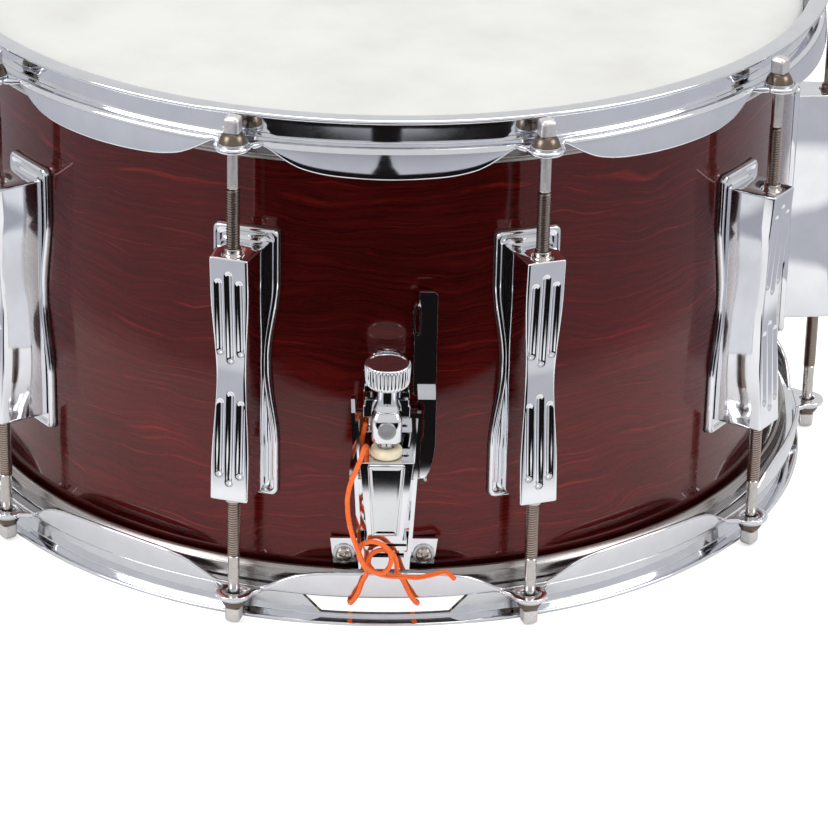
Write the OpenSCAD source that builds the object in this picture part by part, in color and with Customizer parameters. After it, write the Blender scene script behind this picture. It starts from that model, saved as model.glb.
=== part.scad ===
// Snare drum with a wooden shell, ten double-ended lugs, triple-flanged hoops and a side-lever strainer.
// Millimetres. The drum's axis is Z, and z = 0 is the plane that the snare-side rim rests on.
// The strainer is on the -Y side and the butt plate on the +Y side.

/* [Shell] */
// Outside diameter of the shell
shell_d = 355.6; // [350:0.1:362]
// Depth of the shell, from bearing edge to bearing edge
shell_h = 203.2; // [180:0.1:254]
// Thickness of the shell wall
shell_t = 6.5; // [5:0.5:7.5]
// Height of the reinforcement ring glued inside each end
ring_h = 38; // [30:1:45]
// Thickness of the reinforcement ring
ring_t = 5; // [3:0.5:7]

/* [Lugs] */
// Number of double-ended lugs
lug_count = 10; // [8:2:10]
// Distance of the tension rods from the drum's axis
rod_r = 194.5; // [193:0.1:196]
// Length of the lug's face
lug_len = 105.5; // [96:0.5:112]
// Width of the lug's face at its ends
lug_w = 15.8; // [14:0.1:18]
// Width of the lug's face at its waist
lug_waist = 12.4; // [11:0.1:14]
// Distance of the lug's face from the drum's axis, at its ends
lug_face_r = 200.7; // [200:0.1:203]
// Diameter of the threaded rods
rod_d = 5.4; // [5:0.1:5.6]

/* [Hoops] */
// Thickness of the hoop's steel
hoop_t = 2; // [1.6:0.1:2.3]
// Distance of each bearing edge from the rim of its hoop
rim_over = 8.8; // [8:0.1:10]
// Radius of the rim's outturned lip
lip_r = 190.3; // [188:0.1:192]
// Height of the hoop's flange and ears above the rim
ear_z = 14; // [13:0.1:15]
// Height of the top of the hoop's skirt above the rim
skirt_z = 25; // [22:0.5:26]
// Width of the snare gate at its wide side
gate_w = 67; // [60:1:70]

/* [Heads] */
// Thickness of each drumhead's film
film_t = 0.25; // [0.15:0.05:0.3]
// Height of the flesh hoop that each film is set in
flesh_h = 8; // [7:0.5:8]

/* [Strainer] */
// Sideways place of the strainer in its bay
strainer_x = 0.6; // [-1:0.1:1]
// Diameter of the tension adjuster's knob
knob_d = 18.6; // [16:0.2:19]
// Number of ribs round the knob
knob_ribs = 36; // [24:1:40]
// Half the width of the strainer's channel at its top
channel_top = 14.2; // [13.8:0.1:14.4]
// Half the width of the strainer's channel at its foot
channel_foot = 10.7; // [10:0.1:11]

/* [Snares] */
// Number of snare strands
strand_count = 20; // [12:2:20]
// Distance between neighbouring strands
strand_pitch = 3.1; // [2.5:0.1:3.1]
// Outside diameter of a snare strand's coil
strand_d = 1.7; // [1.4:0.1:1.7]
// Length of the snare strands
strand_len = 310; // [300:1:322]
// Diameter of the snare cord
cord_d = 2; // [1.5:0.1:2]

/* [Hidden] */
$fn = 48;
fine = 180;
shell_r = shell_d / 2;
inner_r = shell_r - shell_t;
total_h = shell_h + 2 * rim_over;
mid_z = total_h / 2;
lug_angles = [for (i = [0 : lug_count - 1]) (i + 0.5) * 360 / lug_count];
snare_top_z = rim_over - film_t;

// Hoop section
collar_r = shell_r + 4.2;
skirt_r = collar_r + 6.8;
skirt_lean = 1.1;
scallop_r = 32;
ear_r = 7.5;
ear_hole = 6.6;
gate_low = 2.4;
gate_high = 10.6;
gate_slope = 8.5;
strainer_gate_x = 1.6;

// Flesh hoop section
flesh_in = shell_r + 1.4;
flesh_out = shell_r + 5.6;
flesh_z = ear_z + 0.2;

// Lugs, rods and their fixings
gasket_t = 0.5;
lug_back_r = shell_r + gasket_t + 0.1;
flange_t = 2.2;
flange_w = 27.1;
flange_waist = 19.6;
flange_len = lug_len + 11;
gasket_over = 0.4;
crease = 3.2;
groove_w = 2.6;
groove_len = 30.6;
groove_extra = 7;
groove_depth = 1.3;
groove_pitch = 4.3;
nut_d = 8.6;
nut_len = 14;
nut_neck_d = 6.8;
nut_neck = 2.5;
lug_screw_z = 40;
screw_d = 4;
rod_top = mid_z - lug_len / 2 + nut_len + 2;
washer_z = ear_z - hoop_t - 1;
head_z = 0.4;
head_w = 6.3;
head_h = 7;
collar_d = 11.2;

// Strainer: planes along Y and heights along Z
base_y = -178;
sheet = 1.6;
channel_y = -192;
channel_top_z = 98;
shoulder_z = 92;
channel_foot_z = 25.5;
taper_z = 34;
foot_y = -187.5;
foot_top_z = 35.5;
foot_round = 2.5;
foot_low_half = 20.4;
foot_top_half = 21.8;
tongue_w = 18.4;
tongue_z = 119.4;
screw_x = 16.2;
screw_z = 28.6;
pivot = [0, -182.5, 66];
pivot_d = 4;
axis_y = -193;
carriage_front = -200;
carriage_back = -187;
carriage_top = 80;
carriage_low = 44;
carriage_w_top = 10.8;
carriage_w_low = 6.8;
cord_hole_x = 7.6;
block_w = 12.2;
block_z = [87.5, 100.2];
rivet_z = 93.6;
yoke_z = [93.6, 98.8, 101.4];
knob_z = [110.6, 120.7];
stem_d = 6;
neck_d = 8.6;
lever_x = [13.5, 15, 19.4];
lever_y = -191.5;
ledge_z = 102.4;
tab_y = -184.5;
tab_top = 147;

// Butt plate
butt_z = [27, 51];
butt_seat_y = -188;
butt_screw_x = 10.8;
butt_base_screw_x = 18.6;
butt_mid_z = (butt_z[0] + butt_z[1]) / 2;

// The strap lies on this line in Y and Z, from the clamp to the snares
strap_line = [
    [-188.2, 47], [-188.2, 27], [-190.7, 24.4], [-190.7, 12.4], [-189, 10.6], [-180, 8], [-169.4, 5]
];
strap_t = 0.3;
strap_w = 17;

// Vent
vent_angle = 108;
vent_d = 9.6;

// Snare set
strand_z = snare_top_z - 0.3 - strand_d / 2;
plate_top = strand_z - strand_d / 2 - 0.05;
plate_t = 0.75;
plate_w = 66;
plate_y = [151, 168.2];
plate_low = 3.2;
hook_x = 12.5;
hook_z = 4.8;
hem_d = 2.2;
hinge_y = 167.8;

// The snare cord's route: behind the carriage, up through it, down outside it, round the knot,
// through the gate to the snares and back, round the knot again, and out to its loose end
cord_route = [
    [-7.8, -188.4, 91], [-8.6, -187, 86.5], [-9, -185.7, 81.5], [-8.4, -185.6, 76],
    [-6.6, -186, 70.5], [-5.4, -188.6, 66.5], [-5.6, -191.6, 68], [-6.6, -193, 73],
    [-7, -193, 80], [-7.2, -194.2, 84], [-8.2, -198.2, 85.6], [-9.6, -201.6, 82.4],
    [-11.6, -202.8, 77.5], [-13.6, -202.6, 71.5], [-14.6, -202.2, 65], [-14.3, -202.2, 58],
    [-13.2, -202.3, 51.5], [-11.4, -202.5, 45.5], [-9.6, -202.7, 40.5], [-7.6, -202.9, 36],
    [-4.2, -203, 33], [0, -203, 32.4], [2.8, -202.9, 36], [2.6, -202.8, 41.5],
    [-1, -202.8, 45.2], [-5.2, -202, 45.8], [-8.8, -199.8, 43], [-9.8, -198.6, 38],
    [-8.2, -197.4, 33.5], [-6.4, -196, 29.5], [-6.8, -193.6, 25.8], [-8.2, -192, 22],
    [-9.4, -191.4, 17.5], [-11.4, -191, 13.4], [-12.8, -188.2, 10.4], [-13, -184, 9],
    [-12.8, -178.5, 6.6], [-12.5, -172.5, 5], [-12.2, -165.5, 4.6], [-9.8, -161.6, 4.5],
    [-5, -160, 4.5], [0, -159.8, 4.5], [5, -160, 4.5], [9.8, -161.6, 4.5],
    [12.2, -165.5, 4.6], [12.5, -172.5, 5], [13.2, -178.5, 6.6], [14.2, -184, 9],
    [14.4, -188.2, 10.4], [12.8, -191, 13.4], [10.6, -191.4, 17.5], [8.8, -192, 22],
    [7, -194, 26], [5.6, -197, 30], [5.4, -199.4, 35], [3.6, -199.8, 39.4],
    [-0.5, -199.9, 41], [-4.6, -199.8, 39.2], [-5.8, -200, 35], [-3, -200.2, 31],
    [2, -200.2, 29.4], [8, -199.6, 28.8], [14.2, -198, 27.6], [20.4, -196.4, 28.2],
    [25.2, -195.4, 28.8], [28.6, -195, 25.8]
];
cord_sides = 8;

LUGS = [for (i = [1 : lug_count]) str("lug_", i < 10 ? "0" : "", i)];

// ---------- Helpers ----------

// Turns what is drawn on the -Y side to the given angle round the drum
module round_drum(angle) {
    rotate([0, 0, angle]) children();
}

// One copy of what is drawn on the -Y side at every lug
module at_lugs() {
    for (a = lug_angles) round_drum(a) children();
}

// The batter side is the snare side upside down
module batter_side() {
    translate([0, 0, total_h]) mirror([0, 0, 1]) children();
}

module at_strainer() {
    translate([strainer_x, 0, 0]) children();
}

// A flat outline in X and Z, made into a plate from y = from to y = to
module plate_xz(from, to) {
    translate([0, to, 0]) rotate([90, 0, 0]) linear_extrude(to - from) children();
}

// A flat outline in Y and Z, made into a plate from x = from to x = to
module plate_yz(from, to) {
    translate([from, 0, 0]) rotate([90, 0, 90]) linear_extrude(to - from) children();
}

// A shaft along -Y from y = from out to y = to
module shaft_y(d, from, to) {
    translate([0, from, 0]) rotate([90, 0, 0]) cylinder(d = d, h = from - to);
}

module box(low, high) {
    translate(low) cube(high - low);
}

// Half the width of the strainer's channel at a height
function channel_half(z) = channel_foot + (channel_top - channel_foot) * (z - taper_z)
    / (channel_top_z - taper_z);

// Half the width of the carriage at a height
function carriage_half(z) = carriage_w_low + (carriage_w_top - carriage_w_low) * (z - carriage_low)
    / (carriage_top - carriage_low);

// ---------- Shell ----------

module shell() {
    color("#4a0d12") difference() {
        translate([0, 0, rim_over]) rotate_extrude($fn = fine) polygon([
            [inner_r, 5], [shell_r - 1.5, 0], [shell_r, 1.5],
            [shell_r, shell_h - 1.5], [shell_r - 1.5, shell_h], [inner_r, shell_h - 5]
        ]);
        at_lugs() for (s = [-1, 1]) {
            translate([0, 0, mid_z + s * lug_screw_z]) shaft_y(screw_d + 0.6, -inner_r + 3, -shell_r - 3);
        }
        at_strainer() plate_screw_holes(screw_x, screw_z);
        round_drum(180) plate_screw_holes(butt_base_screw_x, butt_mid_z);
        vent_hole(vent_d);
    }
}

module plate_screw_holes(x, z) {
    for (s = [-1, 1]) {
        translate([s * x, 0, z]) shaft_y(screw_d + 0.6, -inner_r + ring_t + 3, -shell_r - 3);
    }
}

module vent_hole(d) {
    round_drum(vent_angle) translate([0, 0, mid_z]) shaft_y(d, -inner_r + 3, -shell_r - 3);
}

// The ring's outer end is cut back in line with the shell's bearing edge
module reinforcement_ring() {
    out_r = inner_r - 0.05;
    translate([0, 0, rim_over]) rotate_extrude($fn = fine) polygon([
        [out_r - ring_t, 5 + ring_t], [out_r, 5.05], [out_r, ring_h], [out_r - ring_t, ring_h]
    ]);
}

module batter_reinforcement_ring() {
    color("#d9b98a") batter_side() reinforcement_ring();
}

module snare_reinforcement_ring() {
    color("#d9b98a") difference() {
        reinforcement_ring();
        at_strainer() plate_screw_holes(screw_x, screw_z);
        round_drum(180) plate_screw_holes(butt_base_screw_x, butt_mid_z);
    }
}

module vent_grommet() {
    color("#c9a24a") round_drum(vent_angle) translate([0, 0, mid_z]) rotate([90, 0, 0]) {
        rotate_extrude() polygon([
            [4, inner_r - 1.2], [7, inner_r - 1.2], [7, inner_r - 0.2], [4.7, inner_r - 0.2],
            [4.7, shell_r + 1.2], [7, shell_r + 1.2], [6, shell_r + 2.2], [4, shell_r + 2.2]
        ]);
    }
}

module vent_badge() {
    color("silver") round_drum(vent_angle) difference() {
        translate([0, -shell_r - 0.3, mid_z]) rotate([90, 0, 0]) linear_extrude(0.8) {
            translate([-6, 0]) circle(d = 26);
            translate([6, 0]) circle(d = 26);
            square([12, 26], center = true);
        }
        translate([0, 0, mid_z]) shaft_y(vent_d, -shell_r + 3, -shell_r - 3);
    }
}

// ---------- Heads ----------

// The film lies over the bearing edge, and its collar runs down into the flesh hoop
module head_film() {
    rotate_extrude($fn = fine) polygon([
        [0, snare_top_z], [shell_r + 0.6, snare_top_z], [shell_r + 0.6, flesh_z + 2],
        [flesh_in - 0.05, flesh_z + 2], [flesh_in - 0.05, flesh_z + 3.5], [shell_r + 0.2, flesh_z + 3.5],
        [shell_r + 0.2, rim_over], [0, rim_over]
    ]);
}

module flesh_hoop() {
    translate([0, 0, flesh_z]) rotate_extrude($fn = fine) polygon([
        [flesh_in, 0], [flesh_out, 0], [flesh_out, flesh_h - 1.2], [flesh_out - 1.2, flesh_h],
        [flesh_in, flesh_h]
    ]);
}

module batter_head_film() {
    color("#eeeeea") batter_side() head_film();
}

module snare_head_film() {
    color("#dfe3e6") head_film();
}

module batter_flesh_hoop() {
    color("#b9babd") batter_side() flesh_hoop();
}

module snare_flesh_hoop() {
    color("#b9babd") flesh_hoop();
}

// ---------- Hoops ----------

// Lip, collar, flange and skirt in one section of pressed steel
module hoop_section() {
    rotate_extrude($fn = fine) polygon([
        [collar_r, 0], [lip_r, 0], [lip_r, hoop_t], [collar_r + hoop_t, hoop_t],
        [collar_r + hoop_t, ear_z - hoop_t], [skirt_r, ear_z - hoop_t], [skirt_r + skirt_lean, skirt_z],
        [skirt_r + skirt_lean - hoop_t, skirt_z], [skirt_r - hoop_t, ear_z], [collar_r, ear_z]
    ]);
}

module ear() {
    translate([0, 0, ear_z - hoop_t]) linear_extrude(hoop_t) {
        translate([0, -rod_r]) circle(r = ear_r);
        polygon([[-10.5, -skirt_r + 1.5], [10.5, -skirt_r + 1.5], [ear_r, -rod_r], [-ear_r, -rod_r]]);
    }
}

module hoop() {
    difference() {
        union() {
            difference() {
                hoop_section();
                at_lugs() translate([0, 0, ear_z + scallop_r]) {
                    shaft_y(2 * scallop_r, -skirt_r + hoop_t + 0.5, -skirt_r - 6);
                }
            }
            at_lugs() ear();
        }
        at_lugs() translate([0, -rod_r, 0]) cylinder(d = ear_hole, h = 2 * ear_z);
    }
}

module gate() {
    plate_xz(-collar_r - 4, -collar_r + 6) polygon([
        [-gate_w / 2, gate_high], [gate_w / 2, gate_high],
        [gate_w / 2 - gate_slope, gate_low], [gate_slope - gate_w / 2, gate_low]
    ]);
}

module batter_hoop() {
    color("#d5d8dc") batter_side() hoop();
}

module snare_hoop() {
    color("#d5d8dc") difference() {
        hoop();
        translate([strainer_gate_x, 0, 0]) gate();
        round_drum(180) gate();
    }
}

// ---------- Lugs ----------

// A bow-tie outline, wide at both ends and narrow at its waist
module bow_tie(w, waist, len) {
    polygon([
        [-w / 2, -len / 2], [w / 2, -len / 2], [waist / 2, 0],
        [w / 2, len / 2], [-w / 2, len / 2], [-waist / 2, 0]
    ]);
}

// The side view of the lug: its face dips to a crease at the waist
module lug_profile() {
    half = lug_len / 2;
    polygon([
        [-lug_back_r + 2, -half], [-lug_face_r, -half], [-lug_face_r + crease, 0],
        [-lug_face_r, half], [-lug_back_r + 2, half]
    ]);
}

// Three upright grooves with round ends in one half of the face, the middle one the longest
module grooves(s) {
    lean = atan(crease / (lug_len / 2));
    translate([0, -lug_face_r + crease / 2, s * lug_len / 4]) rotate([s * lean, 0, 0]) {
        for (k = [-1, 0, 1]) {
            len = k == 0 ? groove_len + groove_extra : groove_len;
            translate([k * groove_pitch, groove_depth, 0]) rotate([90, 0, 0]) linear_extrude(4) {
                square([groove_w, len], center = true);
                translate([0, len / 2]) circle(d = groove_w);
                translate([0, -len / 2]) circle(d = groove_w);
            }
        }
    }
}

module lug_body() {
    translate([0, 0, mid_z]) difference() {
        union() {
            intersection() {
                plate_xz(-lug_face_r - 1, -lug_back_r + 2) bow_tie(lug_w, lug_waist, lug_len);
                plate_yz(-lug_w, lug_w) lug_profile();
            }
            plate_xz(-lug_back_r - flange_t, -lug_back_r + 2) bow_tie(flange_w, flange_waist, flange_len);
        }
        cylinder(r = lug_back_r, h = lug_len * 2, center = true, $fn = fine);
        grooves(1);
        grooves(-1);
        for (s = [-1, 1]) {
            translate([0, -rod_r, s * (lug_len / 2 - nut_len / 2)]) {
                cylinder(d = nut_d + 0.2, h = nut_len + 0.2, center = true);
                cylinder(d = rod_d + 1, h = nut_len + 7, center = true);
            }
            translate([0, 0, s * lug_screw_z]) shaft_y(screw_d + 0.1, -shell_r + 2, -lug_back_r - 10);
        }
    }
}

module lug(i) {
    color("#cfd3d8") round_drum(lug_angles[i]) lug_body();
}

module lug_gaskets() {
    color("#1a1a1a") at_lugs() translate([0, 0, mid_z]) difference() {
        intersection() {
            plate_xz(-shell_r - 4, -shell_r + 4) {
                bow_tie(flange_w + gasket_over, flange_waist + gasket_over, flange_len + gasket_over);
            }
            cylinder(r = shell_r + gasket_t + 0.05, h = lug_len * 2, center = true, $fn = fine);
        }
        cylinder(r = shell_r + 0.05, h = lug_len * 3, center = true, $fn = fine);
        for (s = [-1, 1]) translate([0, 0, s * lug_screw_z]) {
            shaft_y(screw_d + 0.6, -shell_r + 4, -shell_r - 4);
        }
    }
}

module swivel_nut() {
    difference() {
        union() {
            cylinder(d = nut_d, h = nut_len);
            translate([0, 0, -nut_neck]) cylinder(d = nut_neck_d, h = nut_neck + 1);
        }
        translate([0, 0, -nut_neck - 1]) cylinder(d = rod_d + 0.08, h = nut_len + nut_neck + 2);
    }
}

module swivel_nuts() {
    color("#c8c2b0") at_lugs() translate([0, -rod_r, 0]) {
        translate([0, 0, mid_z - lug_len / 2]) swivel_nut();
        translate([0, 0, mid_z + lug_len / 2]) mirror([0, 0, 1]) swivel_nut();
    }
}

module lug_screws() {
    color("silver") at_lugs() for (s = [-1, 1]) translate([0, 0, mid_z + s * lug_screw_z]) {
        shaft_y(screw_d, -inner_r + 1, -lug_back_r - 8);
        shaft_y(7.4, -inner_r + 3.6, -inner_r + 1);
    }
}

module lug_screw_washers() {
    color("silver") at_lugs() for (s = [-1, 1]) translate([0, 0, mid_z + s * lug_screw_z]) {
        difference() {
            shaft_y(10, -inner_r + 0.95, -inner_r + 0.15);
            shaft_y(screw_d + 0.4, -inner_r + 2, -inner_r - 1);
        }
    }
}

// ---------- Tension rods ----------

module tension_rod() {
    translate([0, -rod_r, 0]) {
        translate([0, 0, washer_z - 1]) cylinder(d = rod_d, h = rod_top - washer_z + 1);
        translate([0, 0, head_z + head_h]) {
            cylinder(d1 = head_w + 1.4, d2 = collar_d, h = washer_z - head_z - head_h);
        }
        intersection() {
            translate([-head_w / 2, -head_w / 2, head_z]) cube([head_w, head_w, head_h + 0.5]);
            translate([0, 0, head_z]) cylinder(d = head_w * 1.25, h = head_h + 0.5);
        }
    }
}

module rod_washer() {
    translate([0, -rod_r, washer_z + 0.02]) difference() {
        cylinder(d = 12, h = 0.95);
        translate([0, 0, -1]) cylinder(d = rod_d + 0.3, h = 3);
    }
}

module batter_tension_rods() {
    color("#b8b4ac") batter_side() at_lugs() tension_rod();
}

module snare_tension_rods() {
    color("#b8b4ac") at_lugs() tension_rod();
}

module batter_rod_washers() {
    color("silver") batter_side() at_lugs() rod_washer();
}

module snare_rod_washers() {
    color("silver") at_lugs() rod_washer();
}

// ---------- Strainer ----------

// One side wall of the channel, leaning with the channel's taper
module channel_wall(s) {
    plate_xz(channel_y, base_y - 0.5) polygon([
        [s * channel_half(channel_top_z), channel_top_z], [s * channel_half(channel_foot_z), channel_foot_z],
        [s * (channel_half(channel_foot_z) - sheet), channel_foot_z],
        [s * (channel_half(channel_top_z) - sheet), channel_top_z]
    ]);
}

module strainer_base() {
    foot_half = channel_half(channel_foot_z);
    color("#c5c9ce") at_strainer() difference() {
        union() {
            plate_xz(base_y - sheet, base_y) {
                translate([-tongue_w / 2, 80]) square([tongue_w, tongue_z - tongue_w / 2 - 80]);
                translate([0, tongue_z - tongue_w / 2]) circle(d = tongue_w);
                polygon([
                    [-channel_half(shoulder_z), shoulder_z], [channel_half(shoulder_z), shoulder_z],
                    [foot_half, channel_foot_z], [-foot_half, channel_foot_z]
                ]);
                polygon([
                    [-foot_low_half, channel_foot_z - 1.5], [-foot_top_half, foot_top_z],
                    [foot_top_half, foot_top_z], [foot_low_half, channel_foot_z - 1.5]
                ]);
            }
            channel_wall(-1);
            channel_wall(1);
            plate_xz(foot_y, foot_y + 1.5) {
                translate([-foot_half, channel_foot_z + foot_round]) {
                    square([2 * foot_half, foot_top_z - channel_foot_z - foot_round]);
                }
                translate([foot_round - foot_half, channel_foot_z]) {
                    square([2 * (foot_half - foot_round), foot_round + 0.1]);
                }
                for (s = [-1, 1]) translate([s * (foot_half - foot_round), channel_foot_z + foot_round]) {
                    circle(r = foot_round);
                }
            }
            box([foot_round - foot_half, foot_y, channel_foot_z],
                [foot_half - foot_round, base_y - 1, channel_foot_z + 1.5]);
        }
        plate_screw_holes(screw_x, screw_z);
        box([-5, foot_y - 1, 31], [8, foot_y + 2, 33]);
        translate([-20, pivot[1], pivot[2]]) rotate([0, 90, 0]) cylinder(d = pivot_d + 0.1, h = 40);
        box([-30, channel_y - 1, channel_foot_z - 5], [30, foot_y + 0.01, taper_z]);
        for (s = [-1, 1]) plate_yz(s * 12 - 2.5, s * 12 + 2.5) polygon([
            [channel_y - 0.01, channel_top_z], [base_y - sheet, shoulder_z],
            [base_y - sheet, channel_top_z + 1], [channel_y - 0.01, channel_top_z + 1]
        ]);
    }
}

module strainer_screws() {
    color("silver") at_strainer() for (s = [-1, 1]) translate([s * screw_x, 0, screw_z]) {
        plate_screw(base_y - sheet - 0.9);
    }
}

// A pan-head machine screw whose head bears on the plane y = seat
module plate_screw(seat) {
    shaft_y(screw_d, -inner_r + ring_t + 6, seat - 0.5);
    difference() {
        shaft_y(6.6, seat, seat - 2.2);
        box([-2, seat - 3, -0.4], [2, seat - 1.2, 0.4]);
        box([-0.4, seat - 3, -2], [0.4, seat - 1.2, 2]);
    }
}

module strainer_screw_washers() {
    color("silver") at_strainer() for (s = [-1, 1]) translate([s * screw_x, 0, screw_z]) difference() {
        shaft_y(8.8, base_y - sheet - 0.02, base_y - sheet - 0.88);
        shaft_y(screw_d + 0.4, base_y, base_y - 6);
    }
}

// A hexagon nut on the inside of the reinforcement ring
module inside_nut() {
    difference() {
        translate([0, -inner_r + ring_t + 4.7, 0]) rotate([90, 0, 0]) cylinder(d = 8, h = 3, $fn = 6);
        shaft_y(screw_d + 0.06, -inner_r + ring_t + 8, -inner_r + ring_t - 2);
    }
}

module strainer_nuts() {
    color("silver") at_strainer() for (s = [-1, 1]) translate([s * screw_x, 0, screw_z]) inside_nut();
}

module throw_pivot_pin() {
    color("silver") at_strainer() translate(pivot) rotate([0, 90, 0]) {
        translate([0, 0, -14.2]) cylinder(d = pivot_d, h = 30.6);
        translate([0, 0, -14.4]) cylinder(d = 6, h = 1.2);
        translate([0, 0, lever_x[1] + 0.3]) cylinder(d = 6, h = 1.2);
    }
}

// The arm hinges beside the channel, steps back at the ledge and ends in a finger tab
module throw_lever() {
    color("#9ba0a8") at_strainer() difference() {
        union() {
            plate_yz(lever_x[0], lever_x[1]) {
                translate([pivot[1], pivot[2]]) circle(r = 4);
                polygon([
                    [pivot[1] + 3.4, pivot[2] + 2], [pivot[1] - 3, pivot[2] - 2.6],
                    [lever_y, 69], [lever_y, 84]
                ]);
            }
            plate_xz(lever_y, lever_y + 1.5) {
                polygon([
                    [lever_x[0], 69], [15.4, 69], [17.2, 72], [18.6, 77], [lever_x[2], 84],
                    [lever_x[2], ledge_z + 1.5], [14.7, ledge_z + 1.5], [14.7, 88], [lever_x[0], 84]
                ]);
            }
            box([12.2, lever_y, ledge_z], [lever_x[2], tab_y + 1.5, ledge_z + 1.5]);
            plate_xz(tab_y, tab_y + 1.5) {
                translate([10.4, ledge_z]) square([9, 129 - ledge_z]);
                translate([12.2, 128]) square([7.2, tab_top - 130]);
                translate([12.2, 140]) square([5.2, tab_top - 140]);
                translate([17.4, tab_top - 2]) circle(r = 2);
            }
            plate_xz(tab_y - 3, tab_y) finger_lip_outline();
        }
        translate([0, pivot[1], pivot[2]]) rotate([0, 90, 0]) cylinder(d = pivot_d + 0.1, h = 40);
    }
}

// The curled lip at the inner edge of the finger tab is an oblong ring
module finger_lip_outline() {
    difference() {
        union() {
            translate([10, 131.2]) square([2.8, 10]);
            translate([11.4, 131.2]) circle(d = 2.8);
            translate([11.4, 141.2]) circle(d = 2.8);
        }
        translate([10.7, 131.2]) square([1.4, 10]);
    }
}

module carriage() {
    color("#d0d4d9") at_strainer() difference() {
        union() {
            plate_xz(carriage_front, carriage_front + 1.2) polygon([
                [-carriage_w_top, carriage_top], [carriage_w_top, carriage_top],
                [carriage_w_low, carriage_low], [-carriage_w_low, carriage_low]
            ]);
            for (s = [-1, 1]) plate_xz(carriage_front, carriage_back) polygon([
                [s * carriage_w_top, carriage_top], [s * carriage_w_low, carriage_low],
                [s * (carriage_w_low - 1.2), carriage_low], [s * (carriage_w_top - 1.2), carriage_top]
            ]);
            box([-carriage_w_top + 0.2, carriage_front, carriage_top - 1.2],
                [carriage_w_top - 0.2, carriage_back, carriage_top]);
        }
        translate([0, axis_y, carriage_top - 3]) cylinder(d = stem_d + 0.5, h = 6);
        for (s = [-1, 1]) translate([s * cord_hole_x, axis_y, carriage_top - 3]) cylinder(d = 2.6, h = 6);
    }
}

module label_plate() {
    color("#8d9096") at_strainer() plate_xz(carriage_front - 0.9, carriage_front - 0.02) polygon([
        [-7.5, 79.2], [7.5, 79.2], [5.4, 47.5], [-5.4, 47.5]
    ]);
}

module cord_clamp() {
    color("silver") at_strainer() difference() {
        box([-8.2, -197, 39.2], [8.8, -188.4, 43.9]);
        box([-9, -196, 41], [9, -189.4, 42.4]);
        box([-9, -198, 41.2], [9, -195, 42.2]);
    }
}

module nylon_washer() {
    color("#e8ddc0") at_strainer() translate([0, axis_y, carriage_top + 0.05]) difference() {
        cylinder(d = 12.6, h = 4.2);
        translate([0, 0, -1]) cylinder(d = stem_d + 0.4, h = 8);
    }
}

module adjust_nut() {
    color("silver") at_strainer() translate([0, axis_y, carriage_top - 6.3]) difference() {
        cylinder(d = 9, h = 5, $fn = 6);
        translate([0, 0, -1]) cylinder(d = stem_d + 0.1, h = 8);
    }
}

module trunnion_block() {
    color("#c3c7cc") at_strainer() difference() {
        union() {
            box([-block_w / 2, axis_y - 6, block_z[0] + 0.8], [block_w / 2, axis_y + 5.9, block_z[1]]);
            translate([0, axis_y, block_z[0]]) cylinder(d = 10, h = 2);
        }
        translate([0, axis_y, block_z[0] - 1]) cylinder(d = stem_d + 0.1, h = 20);
        translate([0, 0, rivet_z]) shaft_y(2.6, axis_y - 4, axis_y - 8);
    }
}

module trunnion_rivet() {
    color("#a9adb2") at_strainer() translate([0, 0, rivet_z]) {
        shaft_y(7.3, axis_y - 6.02, axis_y - 7.2);
        shaft_y(2.5, axis_y - 4.2, axis_y - 6.5);
    }
}

// The cross bar behind the block, which the throw-off lifts and lowers
module trunnion_yoke() {
    color("#b4b8be") at_strainer() {
        box([-9.3, axis_y + 5.95, yoke_z[0]], [9.3, axis_y + 7.6, yoke_z[1]]);
        box([-8.8, axis_y + 5.95, yoke_z[1]], [8.8, axis_y + 8.2, yoke_z[2]]);
    }
}

module adjust_screw() {
    color("#c9cdd2") at_strainer() translate([0, axis_y, 0]) {
        translate([0, 0, 72]) cylinder(d = stem_d, h = 32);
        translate([0, 0, block_z[1] + 0.1]) cylinder(d = neck_d, h = knob_z[0] - block_z[1] - 0.1);
        translate([0, 0, knob_z[0] - 1]) cylinder(d = 5, h = 5);
    }
}

module adjust_knob() {
    r = knob_d / 2;
    color("#d8dbdf") at_strainer() translate([0, axis_y, 0]) difference() {
        rotate_extrude($fn = fine) polygon([
            [0, knob_z[0]], [r - 1.4, knob_z[0]], [r, knob_z[0] + 2], [r, knob_z[1] - 0.6],
            [r - 0.6, knob_z[1]], [r - 1.6, knob_z[1]], [r - 2, knob_z[1] - 0.5], [0, knob_z[1] - 0.5]
        ]);
        translate([0, 0, knob_z[0] - 2]) cylinder(d = 5.05, h = 6.1);
        for (k = [1 : knob_ribs]) rotate([0, 0, k * 360 / knob_ribs]) {
            translate([r + 0.15, 0, knob_z[0] + 2]) cylinder(d = 0.9, h = 7.4, $fn = 16);
        }
    }
}

// ---------- Butt plate ----------

module butt_base() {
    color("#c5c9ce") round_drum(180) difference() {
        union() {
            box([-22, base_y - sheet, butt_z[0]], [22, base_y, butt_z[1]]);
            box([-15, butt_seat_y, butt_z[0]], [15, butt_seat_y + 1.6, butt_z[1]]);
            for (s = [-1, 1]) {
                box([s * 14.2 - 0.8, butt_seat_y, butt_z[0]], [s * 14.2 + 0.8, base_y - 1, butt_z[1]]);
            }
        }
        plate_screw_holes(butt_base_screw_x, butt_mid_z);
        for (s = [-1, 1]) translate([s * butt_screw_x, 0, butt_mid_z]) {
            shaft_y(screw_d + 0.1, butt_seat_y + 3, butt_seat_y - 3);
        }
    }
}

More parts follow.
